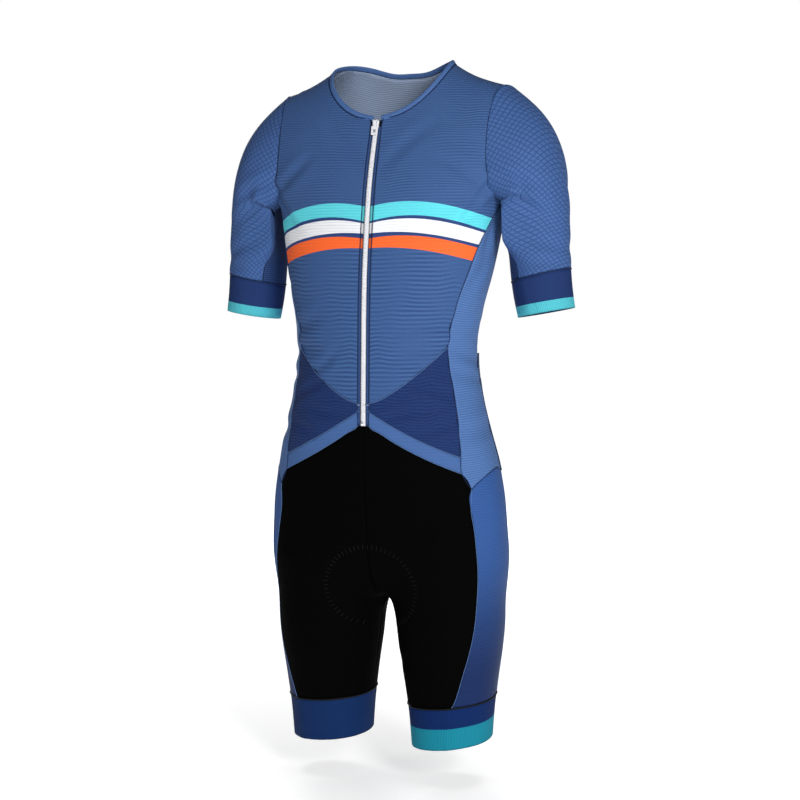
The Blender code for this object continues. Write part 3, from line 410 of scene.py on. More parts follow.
def end_cloth(tree, colour, height, relief, seam_painted_shade=0.65, painted_shade_width=SEAM_PAINTED_SHADE_WIDTH):
    """Join colour and a relief in metres to the shader, with painted shade along the seams."""
    edge = add_node(tree, "Attribute", {"attribute_name": "from_edge"}).outputs["Fac"]
    shade = add_node(tree, "MapRange", {}, {"Value": edge, "From Min": SEAM_PAINTED_SHADE_FULL,
                                            "From Max": painted_shade_width, "To Min": seam_painted_shade,
                                            "To Max": 1.0}).outputs["Result"]
    shader = tree.nodes["Principled BSDF"]
    tree.links.new(blend_colours(tree, 1.0, colour, shade, "MULTIPLY"), shader.inputs["Base Color"])
    bump = add_node(tree, "Bump", {}, {"Distance": relief, "Height": height, "Strength": 1.0})
    tree.links.new(bump.outputs["Normal"], shader.inputs["Normal"])


def row_knit(name, roughness, pitch, distortion, shaded_furrow, crest, relief, speckle=(0.0, 0.0)):
    """A cloth in plain rows, with painted shade making it darker in the furrows than on the crests;
    the speckle is the size and share of uneven yarn laid over them."""
    finish, tree, cut = start_cloth(name, roughness)
    rows = waves(tree, cut, pitch, distortion)
    colour = blend_colours(tree, rows, linear(shaded_furrow), linear(crest))
    size, share = speckle
    if share:
        colour = blend_colours(tree, share, colour, grain(tree, cut, size), "OVERLAY")
    end_cloth(tree, colour, rows, relief)
    return finish


def mix_over_height(tree, low_colour, high_colour, low, high):
    """A colour that changes from one height of the suit to another."""
    place = add_node(tree, "TexCoord").outputs["Object"]
    height = add_node(tree, "SeparateXYZ", {}, {"Vector": place}).outputs["Z"]
    share = add_node(tree, "MapRange", {"interpolation_type": "SMOOTHSTEP"},
                     {"Value": height, "From Min": low, "From Max": high}).outputs["Result"]
    return blend_colours(tree, share, low_colour, high_colour)


# Heights of a stripe's edges in millimetres, at the zip, half way out and at the side seam, and
# how far from the middle those three stations are
StripeEdge = namedtuple("StripeEdge", "at_zip half_way at_side")
Stripe = namedtuple("Stripe", "colour top foot")
STRIPE_STATIONS = (8.0, 56.0, 125.0)
CHEST_STRIPES = [
    Stripe("#2B4379", StripeEdge(-165.0, -160.0, -172.0), StripeEdge(-208.0, -208.0, -222.0)),
    Stripe("#5FD8E4", StripeEdge(-160.0, -155.5, -168.0), StripeEdge(-178.8, -173.0, -185.5)),
    Stripe("#F2F3F7", StripeEdge(-181.5, -177.0, -189.5), StripeEdge(-194.6, -194.2, -206.8)),
    Stripe("#FF6A30", StripeEdge(-200.6, -198.3, -211.0), StripeEdge(-213.2, -214.4, -229.0)),
]


def height_over_edge(tree, height, out, edge):
    """How far a point lies over a stripe's edge, which is a parabola across the chest."""
    stations = np.array(STRIPE_STATIONS) * MILLIMETRE
    bend = np.polyfit(stations, np.array(edge) * MILLIMETRE, 2)
    inner = add_node(tree, "Math", {"operation": "MULTIPLY_ADD"}, {0: out, 1: bend[0], 2: bend[1]})
    line = add_node(tree, "Math", {"operation": "MULTIPLY_ADD"},
                    {0: inner.outputs[0], 1: out, 2: bend[2]})
    return add_node(tree, "Math", {"operation": "SUBTRACT"},
                    {0: height, 1: line.outputs[0]}).outputs[0]


def print_stripes(tree, colour):
    """Lay the printed chest stripes over a cloth colour."""
    place = add_node(tree, "TexCoord").outputs["Object"]
    parts = add_node(tree, "SeparateXYZ", {}, {"Vector": place}).outputs
    out = add_node(tree, "Math", {"operation": "ABSOLUTE"}, {0: parts["X"]}).outputs[0]
    for stripe in CHEST_STRIPES:
        over = height_over_edge(tree, parts["Z"], out, stripe.top)
        under = height_over_edge(tree, parts["Z"], out, stripe.foot)
        below_top = add_node(tree, "Math", {"operation": "LESS_THAN"}, {0: over, 1: 0.0})
        above_foot = add_node(tree, "Math", {"operation": "GREATER_THAN"}, {0: under, 1: 0.0})
        inside = add_node(tree, "Math", {"operation": "MULTIPLY"},
                          {0: below_top.outputs[0], 1: above_foot.outputs[0]}).outputs[0]
        colour = blend_colours(tree, inside, colour, linear(stripe.colour))
    return colour


# Ribbed polyester knit: matt, with shallow rows that catch the light along their upper edges, and
# painted shade darkening the furrows between them. The rows are finer on the chest than under the
# stripes, and they fade where the cloth is taut, in patches of this size. Uneven yarn speckles the
# blue, and painted shade darkens it from the chest down towards the waist.
CHEST_PITCH = 0.0037
WAIST_PITCH = 0.0054
PITCH_CHANGE = (-0.220, -0.200)
TRUNK_PAINTED_SHADE_CHANGE = (-0.330, -0.120)
RIB_WAVER = 1.6
RIB_RELIEF = 0.0006
TAUT_PATCH = 0.050
YARN_SPECKLE = 0.0011


def rib_finish(name, striped):
    finish, tree, cut = start_cloth(name, roughness=0.72)
    chest_rows = waves(tree, cut, CHEST_PITCH, RIB_WAVER)
    waist_rows = waves(tree, cut, WAIST_PITCH, RIB_WAVER)
    rows = mix_over_height(tree, waist_rows, chest_rows, *PITCH_CHANGE)
    speckle = grain(tree, cut, YARN_SPECKLE, 3.0)
    taut = add_node(tree, "MapRange", {}, {"Value": grain(tree, cut, TAUT_PATCH), "From Min": 0.36,
                                           "From Max": 0.60, "To Min": 0.15}).outputs[0]
    level = (0.5, 0.5, 0.5, 1.0)
    rows = blend_colours(tree, taut, level, rows)
    # Painted shade: furrows darker than crests, and the blue darker from the chest down to the waist
    shaded_furrow = mix_over_height(tree, linear("#2A4678"), linear("#304F7E"), *TRUNK_PAINTED_SHADE_CHANGE)
    crest = mix_over_height(tree, linear("#426498"), linear("#426196"), *TRUNK_PAINTED_SHADE_CHANGE)
    colour = blend_colours(tree, rows, shaded_furrow, crest)
    colour = blend_colours(tree, 0.45, colour, speckle, "OVERLAY")
    if striped:
        colour = print_stripes(tree, colour)
    height = blend_colours(tree, 0.25, rows, speckle)
    end_cloth(tree, colour, height, RIB_RELIEF)
    return finish


rib_knit = rib_finish("ribbed_polyester_knit_printed", True)

# The reverse of the blue knits: undyed yarn shows through, so it is greyer and paler
REVERSE_PITCH = 0.0026
blue_reverse = row_knit("knit_reverse_blue", 0.80, REVERSE_PITCH, 0.6, "#7F91AE", "#A3B3CC", 0.0002)


def thread_finish(name, code):
    """Polyester sewing thread: plain and slightly shiny, so that a seam shows as a fine line."""
    finish = bpy.data.materials.new(name)
    finish.use_nodes = True
    shader = finish.node_tree.nodes["Principled BSDF"]
    shader.inputs["Base Color"].default_value = linear(code)
    shader.inputs["Roughness"].default_value = 0.6
    shader.inputs["Specular IOR Level"].default_value = 0.2
    return finish


navy_thread = thread_finish("navy_polyester_thread", "#152850")
blue_thread = thread_finish("light_blue_polyester_thread", "#5878A8")
CHEST_CREASES = [
    Crease((136, -42, -140), (-0.8, 0.0, -0.6), 55, 6, 3.12, 6),
    Crease((126, -52, -172), (-0.9, 0.0, -0.35), 48, 6, 2.34, 5),
    Crease((118, -60, -118), (-0.8, 0.0, 0.5), 50, 8, 2.34, 5),
    Crease((104, -66, -312), (-1.0, 0.0, 0.16), 60, 7, 2.34, 6),
    Crease((88, -76, -338), (-1.0, 0.0, -0.10), 50, 7, 2.08, -6),
    Crease((60, -86, -362), (-0.9, 0.0, 0.45), 42, 7, 1.69, 7),
    Crease((40, -80, -80), (-0.7, 0.0, -0.7), 60, 9, 1.56, 8),
]
Front = namedtuple("Front", "panel size area sewn_on")
fronts = {}
for side in ("left", "right"):
    panel = outer_face("front_" + side, "front_panel_" + side)
    size = lay_flat(panel)
    smooth_cloth(panel, 3)
    lay_creases(panel, CHEST_CREASES, side == "right")
    seam = thread_lines("front_seam_" + side,
                        seam_runs(panel, ["side_" + side, "sleeve_" + side, "back"]),
                        SEAM_CORD, navy_thread)
    neck_seam = thread_lines("neck_seam_" + side, seam_runs(panel, ["collar"]), NECK_CORD,
                             navy_thread)
    fronts[side] = Front(panel, size, mesh_area(panel.data), [seam, neck_seam])
    back_cloth(panel, "front_" + side, rib_knit, blue_reverse)

# Waist panels
# Under each chest panel a navy insert of crinkled knit narrows to a point at the side, and a
# plain blue band follows its lower edge. Both are sewn in flat.

# Crinkled polyester knit: matt, with short wandering wrinkles and a coarse grain that break up light,
# and painted shade in the wrinkles' furrows
crinkle_knit, tree, cut = start_cloth("crinkled_navy_knit", roughness=0.78)
wrinkles = waves(tree, cut, 0.0040, 9.0, wobble=0.010)
speckle = grain(tree, cut, 0.0020, 3.0)
height = blend_colours(tree, 0.60, wrinkles, speckle)
colour = blend_colours(tree, wrinkles, linear("#12295A"), linear("#1A3468"))
colour = blend_colours(tree, 0.55, colour, speckle, "OVERLAY")
end_cloth(tree, colour, height, relief=0.0008)

# Smooth knit: an even lighter blue with fine rows that hardly show
plain_knit = row_knit("smooth_blue_knit", 0.70, 0.0017, 0.8, "#3A5B92", "#4A6CA4", 0.0002,
                      speckle=(0.0012, 0.18))
# The reverse of the navy knits: dull, and a little greyer than the face
navy_reverse = row_knit("knit_reverse_navy", 0.80, REVERSE_PITCH, 0.6, "#1B2B50", "#2B3E69", 0.0002)

WAIST_CREASES = [
    Crease((80, -86, -388), (1.0, 0.0, -0.28), 42, 6, 1.82, 4),
    Crease((54, -96, -418), (1.0, 0.0, 0.18), 36, 6, 1.56, -4),
    Crease((90, -84, -438), (1.0, 0.0, 0.30), 36, 6, 1.69, 4),
]
for side in ("left", "right"):
    insert = outer_face("belly_" + side, "waist_insert_" + side)
    size = lay_flat(insert)
    smooth_cloth(insert, 3)
    lay_creases(insert, WAIST_CREASES, side == "right")
    thread_lines("waist_seam_" + side, seam_runs(insert, ["front_" + side, "band_" + side]),
                 SEAM_CORD, blue_thread)
    finish_cloth(insert, "belly_" + side, crinkle_knit, navy_reverse)
    band = outer_face("band_" + side, "waist_band_" + side)
    size = lay_flat(band)
    smooth_cloth(band, 3)
    lay_creases(band, WAIST_CREASES, side == "right")
    thread_lines("band_seam_" + side, seam_runs(band, ["shorts_front_" + side]),
                 SEAM_CORD, blue_thread)
    finish_cloth(band, "band_" + side, plain_knit, blue_reverse)

# Back and its pocket
# The back is one wide panel of the same ribbed knit, and an open pocket is sewn flat over its
# lower part.
BACK_CREASES = [
    Crease((0, 85, -60), (1.0, 0.0, 0.0), 70, 8, 1.56, 10),
    Crease((95, 70, -130), (0.8, 0.0, 0.5), 60, 8, 1.82, 6),
    Crease((-95, 70, -130), (-0.8, 0.0, 0.5), 60, 8, 1.82, 6),
    Crease((40, 80, -290), (1.0, 0.0, 0.14), 70, 8, 1.69, 8),
    Crease((-55, 80, -318), (1.0, 0.0, -0.20), 60, 7, 1.56, 7),
    Crease((110, 55, -330), (1.0, 0.0, 0.30), 40, 7, 1.43, 5),
    Crease((-118, 50, -300), (1.0, 0.0, -0.35), 40, 7, 1.43, 5),
]
# The same ribbed knit as in front, without the print
plain_rib_knit = rib_finish("ribbed_polyester_knit", False)
back = outer_face("back", "back_panel")
size = lay_flat(back)
smooth_cloth(back, 2)
lay_creases(back, BACK_CREASES)
thread_lines("back_seam", seam_runs(back, ["side_left", "side_right", "sleeve_left", "sleeve_right",
                                           "shorts_back_left", "shorts_back_right"]),
             SEAM_CORD, navy_thread)
thread_lines("back_neck_seam", seam_runs(back, ["collar"]), NECK_CORD, navy_thread)
finish_cloth(back, "back", plain_rib_knit, blue_reverse)
pocket = outer_face("back_pocket", "back_pocket_panel")
size = lay_flat(pocket)
smooth_cloth(pocket, 2)
thread_lines("pocket_seam", seam_runs(pocket, ["back"]), SEAM_CORD, navy_thread)
finish_cloth(pocket, "back_pocket", plain_rib_knit, blue_reverse)

# Side panels
# A lighter panel with fine cross ribs fills each side from the armhole down to the shorts.

# Fine rib knit: shallow rows close together, which give a soft, even, lighter blue
side_knit = row_knit("fine_rib_side_knit", 0.70, 0.0030, 1.0, "#42649C", "#5578AE", 0.0002,
                     speckle=(0.0014, 0.20))
SIDE_CREASES = [
    Crease((135, -20, -190), (-0.5, -0.2, -0.8), 60, 8, 2.08, 6),
    Crease((130, -40, -250), (-0.8, -0.3, -0.5), 45, 7, 1.69, 5),
    Crease((125, -45, -345), (-1.0, -0.5, 0.2), 45, 7, 1.82, 5),
    Crease((124, -40, -372), (-1.0, -0.5, 0.0), 45, 6, 1.56, -4),
    Crease((130, -40, -440), (-1.0, -0.6, -0.25), 45, 8, 1.69, 5),
]
for side in ("left", "right"):
    panel = outer_face("side_" + side, "side_panel_" + side)
    size = lay_flat(panel)
    smooth_cloth(panel, 3)
    lay_creases(panel, SIDE_CREASES, side == "right")
    thread_lines("side_seam_" + side,
                 seam_runs(panel, ["belly_" + side, "band_" + side, "shorts_front_" + side,
                                   "leg_side_" + side, "sleeve_" + side, "sleeve_under_" + side]),
                 SEAM_CORD, navy_thread)
    finish_cloth(panel, "side_" + side, side_knit, blue_reverse)

# Sleeves
# Open mesh knit with a diamond pattern covers the upper arm, and a darker strip closes the
# sleeve under the arm.
SLEEVE_TOP = Vector((0.1545, 0.012, -0.080))
SLEEVE_FOOT = Vector((0.2030, 0.014, -0.2930))
# Open mesh knit: thin darker ridges cross in diamonds over a finer grid of holes. One set of
# ridges bows round the arm and the other meets in a crest along its middle, as on the real cut.
CELL = 0.0056
CREST_MIDDLE = 0.125
CREST_BOW = 5.0
CREST_WIDTH = 0.020
CREST_SLOPE = 0.8
CREST_LEAN = -0.6


def mesh_lines(tree, grid, pitch, distortion):
    """Two sets of lines that cross."""
    return add_node(tree, "Math", {"operation": "MAXIMUM"},
                    {0: waves(tree, grid, pitch, distortion),
                     1: waves(tree, grid, pitch, distortion, "X")}).outputs[0]


sleeve_knit, tree, cut = start_cloth("diamond_mesh_knit", roughness=0.72)
parts = add_node(tree, "SeparateXYZ", {}, {"Vector": cut}).outputs
across = add_node(tree, "Math", {"operation": "SUBTRACT"},
                  {0: parts["X"], 1: CREST_MIDDLE}).outputs[0]
square = add_node(tree, "Math", {"operation": "MULTIPLY"}, {0: across, 1: across}).outputs[0]
arc = add_node(tree, "Math", {"operation": "MULTIPLY_ADD"}, {0: square, 1: CREST_BOW, 2: parts["Y"]})
spread = add_node(tree, "Math", {"operation": "ADD"}, {0: square, 1: CREST_WIDTH ** 2}).outputs[0]
away = add_node(tree, "Math", {"operation": "SQRT"}, {0: spread}).outputs[0]
rise = add_node(tree, "Math", {"operation": "MULTIPLY"}, {0: parts["Y"], 1: CREST_LEAN}).outputs[0]
steep = add_node(tree, "Math", {"operation": "MULTIPLY_ADD"}, {0: away, 1: CREST_SLOPE, 2: rise})
grid = add_node(tree, "CombineXYZ", {}, {"X": steep.outputs[0], "Y": arc.outputs[0]}).outputs[0]
cells = mesh_lines(tree, grid, CELL, 0.5)
fine = mesh_lines(tree, grid, CELL / 4, 0.6)
ridge = add_node(tree, "MapRange", {}, {"Value": cells, "From Min": 0.80, "From Max": 1.0,
                                        "To Max": 0.75}).outputs[0]
speckle = grain(tree, cut, YARN_SPECKLE, 3.0)
colour = blend_colours(tree, fine, linear("#5072A8"), linear("#3C5C94"))
colour = blend_colours(tree, ridge, colour, linear("#28447A"))
colour = blend_colours(tree, 0.40, colour, speckle, "OVERLAY")
end_cloth(tree, colour, ridge, relief=0.0004)

# Underarm knit: plain rows in a dark navy, matt, dark enough to serve as painted shade under the arm
under_knit = row_knit("underarm_knit", 0.75, 0.0026, 0.8, "#1A2F58", "#2A4474", 0.0003)

SLEEVE_CREASES = [
    Crease((172, -34, -128), (0.9, 0.0, -0.3), 46, 8, 3.38, 7),
    Crease((186, -36, -158), (0.8, 0.0, -0.6), 46, 7, 2.6, -6),
    Crease((206, -24, -205), (0.9, 0.2, -0.3), 44, 7, 2.08, 6),
    Crease((200, -28, -232), (1.0, 0.0, 0.15), 38, 6, 1.82, -5),
    Crease((222, 40, -150), (0.4, 0.5, -0.7), 55, 8, 2.34, 6),
    Crease((206, 56, -200), (1.0, 0.2, -0.2), 45, 8, 2.08, 5),
    Crease((170, 62, -130), (0.9, 0.1, -0.3), 46, 8, 2.86, 7),
]
# Slack cloth under the arm hangs down beside the body. It comes in to UNDERARM_OUT from the
# suit's middle, from where each range starts to where it has its full effect.
HangRange = namedtuple("HangRange", "start full")
UNDERARM_OUT = 0.1570
UNDERARM_FADE_OUT = HangRange(0.205, 0.172)
UNDERARM_FADE_TOP = HangRange(-0.146, -0.156)
UNDERARM_FADE_FOOT = HangRange(-0.235, -0.200)


def ease(value, limits):
    """A soft step from 0 to 1 over a range."""
    share = np.clip((value - limits.start) / (limits.full - limits.start), 0.0, 1.0)
    return share * share * (3.0 - 2.0 * share)


def hang_under_arm(piece, flip):
    points = mesh_points(piece.data)
    out = points[:, 0] * flip
    share = ease(out, UNDERARM_FADE_OUT) * ease(points[:, 2], UNDERARM_FADE_TOP)
    share *= ease(points[:, 2], UNDERARM_FADE_FOOT)
    points[:, 0] -= flip * share * np.maximum(out - UNDERARM_OUT, 0.0)
    piece.data.vertices.foreach_set("co", points.ravel())
    piece.data.update()


def arm_axis(flip):
    mirror = Vector((flip, 1.0, 1.0))
    return Axis(SLEEVE_TOP * mirror, SLEEVE_FOOT * mirror)


# Both faces of the sleeve have its mesh, because the inner one shows at a fold near the armpit
for side, flip in (("left", 1.0), ("right", -1.0)):
    arm = arm_axis(flip)
    sleeve = outer_face("sleeve_" + side, "sleeve_panel_" + side, arm)
    size = lay_flat(sleeve)
    smooth_cloth(sleeve, 3)
    hang_under_arm(sleeve, flip)
    lay_creases(sleeve, SLEEVE_CREASES, side == "right")
    thread_lines("sleeve_seam_" + side, seam_runs(sleeve, ["sleeve_under_" + side, "cuff_" + side]),
                 SEAM_CORD, navy_thread)
    finish_cloth(sleeve, "sleeve_" + side, sleeve_knit, sleeve_knit)
    strip = outer_face("sleeve_under_" + side, "underarm_strip_" + side, arm)
    size = lay_flat(strip)
    smooth_cloth(strip, 3)
    hang_under_arm(strip, flip)
    finish_cloth(strip, "sleeve_under_" + side, under_knit, navy_reverse)

# Shorts
# Black knit front and back panels join at the middle and along the inside of the leg. Short
# rows of stitches round an oval hold the riding pad inside.

# Smooth black knit: deep matt black, with hardly any sheen, so that only broad folds show
black_knit, tree, cut = start_cloth("black_smooth_knit", roughness=0.80, sheen=0.0, specular=0.02)
rows = waves(tree, cut, 0.0012, 0.5)
colour = blend_colours(tree, grain(tree, cut, 0.0018), linear("#020202"), linear("#050605"))
end_cloth(tree, colour, rows, relief=0.0001)

# The reverse of the black knit: a dusty dark grey
black_reverse = row_knit("knit_reverse_black", 0.80, 0.0024, 0.6, "#101112", "#1D1F21", 0.0002)
black_thread = thread_finish("black_polyester_thread", "#030304")
SHORTS_CREASES = [
    Crease((40, -92, -560), (1.0, 0.0, 0.18), 50, 8, 1.17, 5),
    Crease((90, -75, -600), (1.0, 0.0, 0.40), 45, 8, 1.3, 6),
    Crease((70, -60, -700), (1.0, 0.0, -0.30), 42, 8, 1.3, 6),
    Crease((50, -50, -735), (1.0, 0.0, 0.10), 40, 8, 1.17, -5),
    Crease((70, 90, -600), (1.0, 0.0, 0.30), 60, 9, 1.82, 8),
    Crease((60, 80, -680), (1.0, 0.0, -0.25), 55, 9, 1.82, 7),
    Crease((85, 60, -735), (1.0, 0.0, 0.15), 45, 8, 1.56, 5),
]
for side in ("left", "right"):
    for half in ("front", "back"):
        node = "shorts_" + half + "_" + side
        panel = outer_face(node, "shorts_panel_" + half + "_" + side)
        size = lay_flat(panel)
        smooth_cloth(panel, 2)
        lay_creases(panel, SHORTS_CREASES, side == "right")
        thread_lines("shorts_seam_" + half + "_" + side,
                     seam_runs(panel, ["leg_side_" + side]),
                     SEAM_CORD, blue_thread)
        finish_cloth(panel, node, black_knit, black_reverse)

# The ring of stitches, laid on the cloth by looking back at it from in front of the suit, and only
# where that meets the front of the shorts
PAD_MIDDLE = (0.001, -0.640)
PAD_HALF_WIDTH = 0.060
PAD_HALF_HEIGHT = 0.054
PAD_STITCHES = 62
PAD_BACKMOST = -0.035
STITCH_LENGTH = 0.0055
STITCH_RADIUS = 0.0004
IN_FRONT = -0.3
BACKWARD = Vector((0.0, 1.0, 0.0))
stitches = []
skins = [BVHTree.FromObject(bpy.data.objects["shorts_panel_front_" + side],
                            bpy.context.evaluated_depsgraph_get()) for side in ("left", "right")]
for turn in np.linspace(0.0, math.tau, PAD_STITCHES, endpoint=False):
    line = []
    for reach in (0.0, 0.5, 1.0):
        x = PAD_MIDDLE[0] + math.sin(turn) * (PAD_HALF_WIDTH + (reach - 0.5) * STITCH_LENGTH)
        z = PAD_MIDDLE[1] + math.cos(turn) * (PAD_HALF_HEIGHT + (reach - 0.5) * STITCH_LENGTH)
        hits = [skin.ray_cast(Vector((x, IN_FRONT, z)), BACKWARD)[0] for skin in skins]
        hits = [hit for hit in hits if hit and hit.y < PAD_BACKMOST]
        if hits:
            line.append(min(hits, key=lambda hit: hit.y) - Vector((0.0, SEAM_LIFT, 0.0)))
    if len(line) == 3:
        stitches.append(line)
thread_lines("pad_stitches", stitches, STITCH_RADIUS, black_thread)

# Leg side panels
# A blue panel curves from the hip down the outside of each thigh.

# Royal blue knit: fine rows with a very slight relief and painted shade in their furrows, and
# painted shade that deepens the blue towards the knee
LEG_PAINTED_SHADE_CHANGE = (-0.760, -0.560)
leg_knit, tree, cut = start_cloth("royal_leg_knit", roughness=0.70)
rows = waves(tree, cut, 0.0030, 1.2)
shaded_furrow = mix_over_height(tree, linear("#0A2250"), linear("#2B4F8C"), *LEG_PAINTED_SHADE_CHANGE)
crest = mix_over_height(tree, linear("#0E2A5E"), linear("#335A9A"), *LEG_PAINTED_SHADE_CHANGE)
colour = blend_colours(tree, rows, shaded_furrow, crest)
colour = blend_colours(tree, 0.20, colour, grain(tree, cut, 0.0014), "OVERLAY")
end_cloth(tree, colour, rows, relief=0.00015)

for side in ("left", "right"):
    panel = outer_face("leg_side_" + side, "leg_side_panel_" + side)
    size = lay_flat(panel)
    smooth_cloth(panel, 3)
    lay_creases(panel, SHORTS_CREASES, side == "right")
    finish_cloth(panel, "leg_side_" + side, leg_knit, blue_reverse)

# Cuffs and leg bands
# Elastic hem bands are sewn to the sleeves and legs. The cuffs and the left leg band are navy
# with a turquoise lower edge, and the right leg band is navy all over.
BAND_RIB = 0.0022
CUFF_CORD = 0.0009
# The black cord over each leg band's top seam is partly the black binding on the seam and partly a
# painted shadow line along it, so it is thicker than thread
LEG_BAND_CORD_AND_SHADOW_LINE = 0.0012
LEG_TOP = Vector((0.082, 0.0, -0.750))
LEG_FOOT = Vector((0.082, 0.0, -0.860))


def lay_ring(piece, axis):
    """Unroll a closed band into its cut in metres; returns its length round and its height."""
    mesh = piece.data
    new_cut_layer(mesh)
    down = (axis.foot - axis.top).normalized()
    ahead = Vector((1.0, 0.0, 0.0)).cross(down).normalized()
    beside = down.cross(ahead)
    points = mesh_points(mesh) - np.array(axis.top)
    angle = np.arctan2(points @ np.array(beside), points @ np.array(ahead))
    height = -(points @ np.array(down))
    height -= height.min()
    ring = max(border_loops(mesh), key=len)
    loop = mesh_points(mesh)[ring]
    girth = np.linalg.norm(loop - np.roll(loop, -1, axis=0), axis=1).sum()
    layer = mesh.uv_layers["cut"].data
    for face in mesh.polygons:
        turns = [angle[vert] for vert in face.vertices]
        for corner, vert, turn in zip(face.loop_indices, face.vertices, turns):
            whole = turn + math.tau if max(turns) - turn > math.pi else turn
            layer[corner].uv = (whole / math.tau * girth, height[vert])
    return girth, height.max()


def measure_hem(piece):
    """Store each point's distance from the lowest border ring."""
    mesh = piece.data
    points = mesh_points(mesh)
    hem = min(border_loops(mesh), key=lambda ring: points[ring, 2].mean())
    tree = KDTree(len(hem))
    for vert in hem:
        tree.insert(points[vert], vert)
    tree.balance()
    distance = np.array([tree.find(point)[2] for point in points], dtype=np.float32)
    mesh.attributes.new("from_hem", "FLOAT", "POINT").data.foreach_set("value", distance)


def band_finish(name, upper, lower, lower_height):
    """Ribbed elastic knit: fine upright ribs with painted shade between them, and matt from the
    rubber in it. The lower colour goes up to a height over the hem, with a clean edge."""
    finish, tree, cut = start_cloth(name, roughness=0.75, sheen=0.0, specular=0.1)
    rows = waves(tree, cut, BAND_RIB, 0.4, "X")
    hem = add_node(tree, "Attribute", {"attribute_name": "from_hem"}).outputs["Fac"]
    under = add_node(tree, "Math", {"operation": "LESS_THAN"}, {0: hem, 1: lower_height}).outputs[0]
    colour = blend_colours(tree, under, linear(upper), linear(lower))
    # Painted shade between the ribs
    shade = add_node(tree, "MapRange", {}, {"Value": rows, "To Min": 0.80, "To Max": 1.0}).outputs[0]
    colour = blend_colours(tree, 1.0, colour, shade, "MULTIPLY")
    end_cloth(tree, colour, rows, relief=0.0003, seam_painted_shade=0.7)
    return finish


cuff_finish = band_finish("elastic_cuff_knit", "#23396C", "#56C4D2", 0.0135)
left_band_finish = band_finish("elastic_band_two_colours", "#0A2A62", "#1A8DA4", 0.0275)
right_band_finish = band_finish("elastic_band_navy", "#0F2E60", "#0F2E60", 0.0)
for side, flip in (("left", 1.0), ("right", -1.0)):
    arm = arm_axis(flip)
    cuff = outer_face("cuff_" + side, "cuff_band_" + side, arm)
    smooth_cloth(cuff, 2)
    size = lay_ring(cuff, arm)
    measure_hem(cuff)
    thread_lines("cuff_seam_" + side, seam_runs(cuff, ["sleeve_" + side, "sleeve_under_" + side]),
                 CUFF_CORD, navy_thread)
    finish_cloth(cuff, "cuff_" + side, cuff_finish, navy_reverse)
    leg = Axis(LEG_TOP * Vector((flip, 1.0, 1.0)), LEG_FOOT * Vector((flip, 1.0, 1.0)))
    band = outer_face("leg_band_" + side, "leg_hem_band_" + side, leg)
    smooth_cloth(band, 2)
    size = lay_ring(band, leg)
    measure_hem(band)
    thread_lines("leg_band_seam_" + side,
                 seam_runs(band, ["shorts_front_" + side, "shorts_back_" + side, "leg_side_" + side]),
                 LEG_BAND_CORD_AND_SHADOW_LINE, black_thread)
    finish = left_band_finish if side == "left" else right_band_finish
    finish_cloth(band, "leg_band_" + side, finish, navy_reverse)

# Neck binding
# A folded strip of light blue knit covers the raw edge of the neck and stops at each side of
# the zip.

# Folded knit: smooth and lighter than the fronts, with only a fine grain
binding_knit, tree, cut = start_cloth("folded_binding_knit", roughness=0.70)
place = add_node(tree, "TexCoord").outputs["Object"]
speckle = grain(tree, place, 0.0012)
colour = blend_colours(tree, speckle, linear("#35558C"), linear("#5577AE"))
bump = add_node(tree, "Bump", {}, {"Distance": 0.0002, "Height": speckle, "Strength": 1.0})
shader = tree.nodes["Principled BSDF"]
tree.links.new(colour, shader.inputs["Base Color"])
tree.links.new(bump.outputs["Normal"], shader.inputs["Normal"])

collar = open_copy("collar", "neck_binding")
close_copy()
collar.data.materials.append(binding_knit)
smooth_cloth(collar, 2)
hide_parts("collar")
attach(collar, PIECE_BODY)

# Zip
# Woven tape carries white moulded teeth from the neck to the waist, and a blue guard strip
# lies along each side. The white lacquered slider stays near the neck.

# Guard strip: fine knit in the fronts' blue, printed with them, with painted shade in its furrows,
# a dark end over GUARD_END and deep painted shade along both of its edges
GUARD_END = -0.0590
GUARD_EDGE_SHADE = 0.3
GUARD_EDGE_WIDTH = 0.0026
GUARD_CORD = 0.0004
guard_knit, tree, cut = start_cloth("zip_guard_strip", roughness=0.70)
rows = waves(tree, cut, 0.0018, 0.6)
colour = blend_colours(tree, rows, linear("#304E88"), linear("#40629C"))
colour = print_stripes(tree, colour)
place = add_node(tree, "TexCoord").outputs["Object"]
height = add_node(tree, "SeparateXYZ", {}, {"Vector": place}).outputs["Z"]
is_end = add_node(tree, "Math", {"operation": "GREATER_THAN"}, {0: height, 1: GUARD_END}).outputs[0]
colour = blend_colours(tree, is_end, colour, linear("#06080D"))
end_cloth(tree, colour, rows, 0.0002, GUARD_EDGE_SHADE, GUARD_EDGE_WIDTH)

# Woven polyester tape: white with a slight silky sheen and very fine rows of weft, with painted shade
# in the furrows between them and along its seams
tape_weave, tree, cut = start_cloth("white_zip_tape", roughness=0.60, sheen=0.05)
rows = waves(tree, cut, 0.0008, 0.3)
colour = blend_colours(tree, rows, linear("#C9CCD6"), linear("#EDEEF3"))
end_cloth(tree, colour, rows, relief=0.0001, seam_painted_shade=0.6)

for side in ("left", "right"):
    guard = outer_face("zip_guard_" + side, "zip_guard_strip_" + side)
    lay_flat(guard)
    smooth_cloth(guard, 2)
    seam = thread_lines("guard_seam_" + side,
                        seam_runs(guard, ["front_" + side, "belly_" + side, "band_" + side]),
                        GUARD_CORD, navy_thread)
    back_cloth(guard, "zip_guard_" + side, guard_knit, blue_reverse)
    fronts[side].sewn_on.extend([guard, seam])

tape = outer_face("zip_chain", "zip_tape")
lay_flat(tape)
smooth_cloth(tape, 1)
back_cloth(tape, "zip_chain", tape_weave, tape_weave)

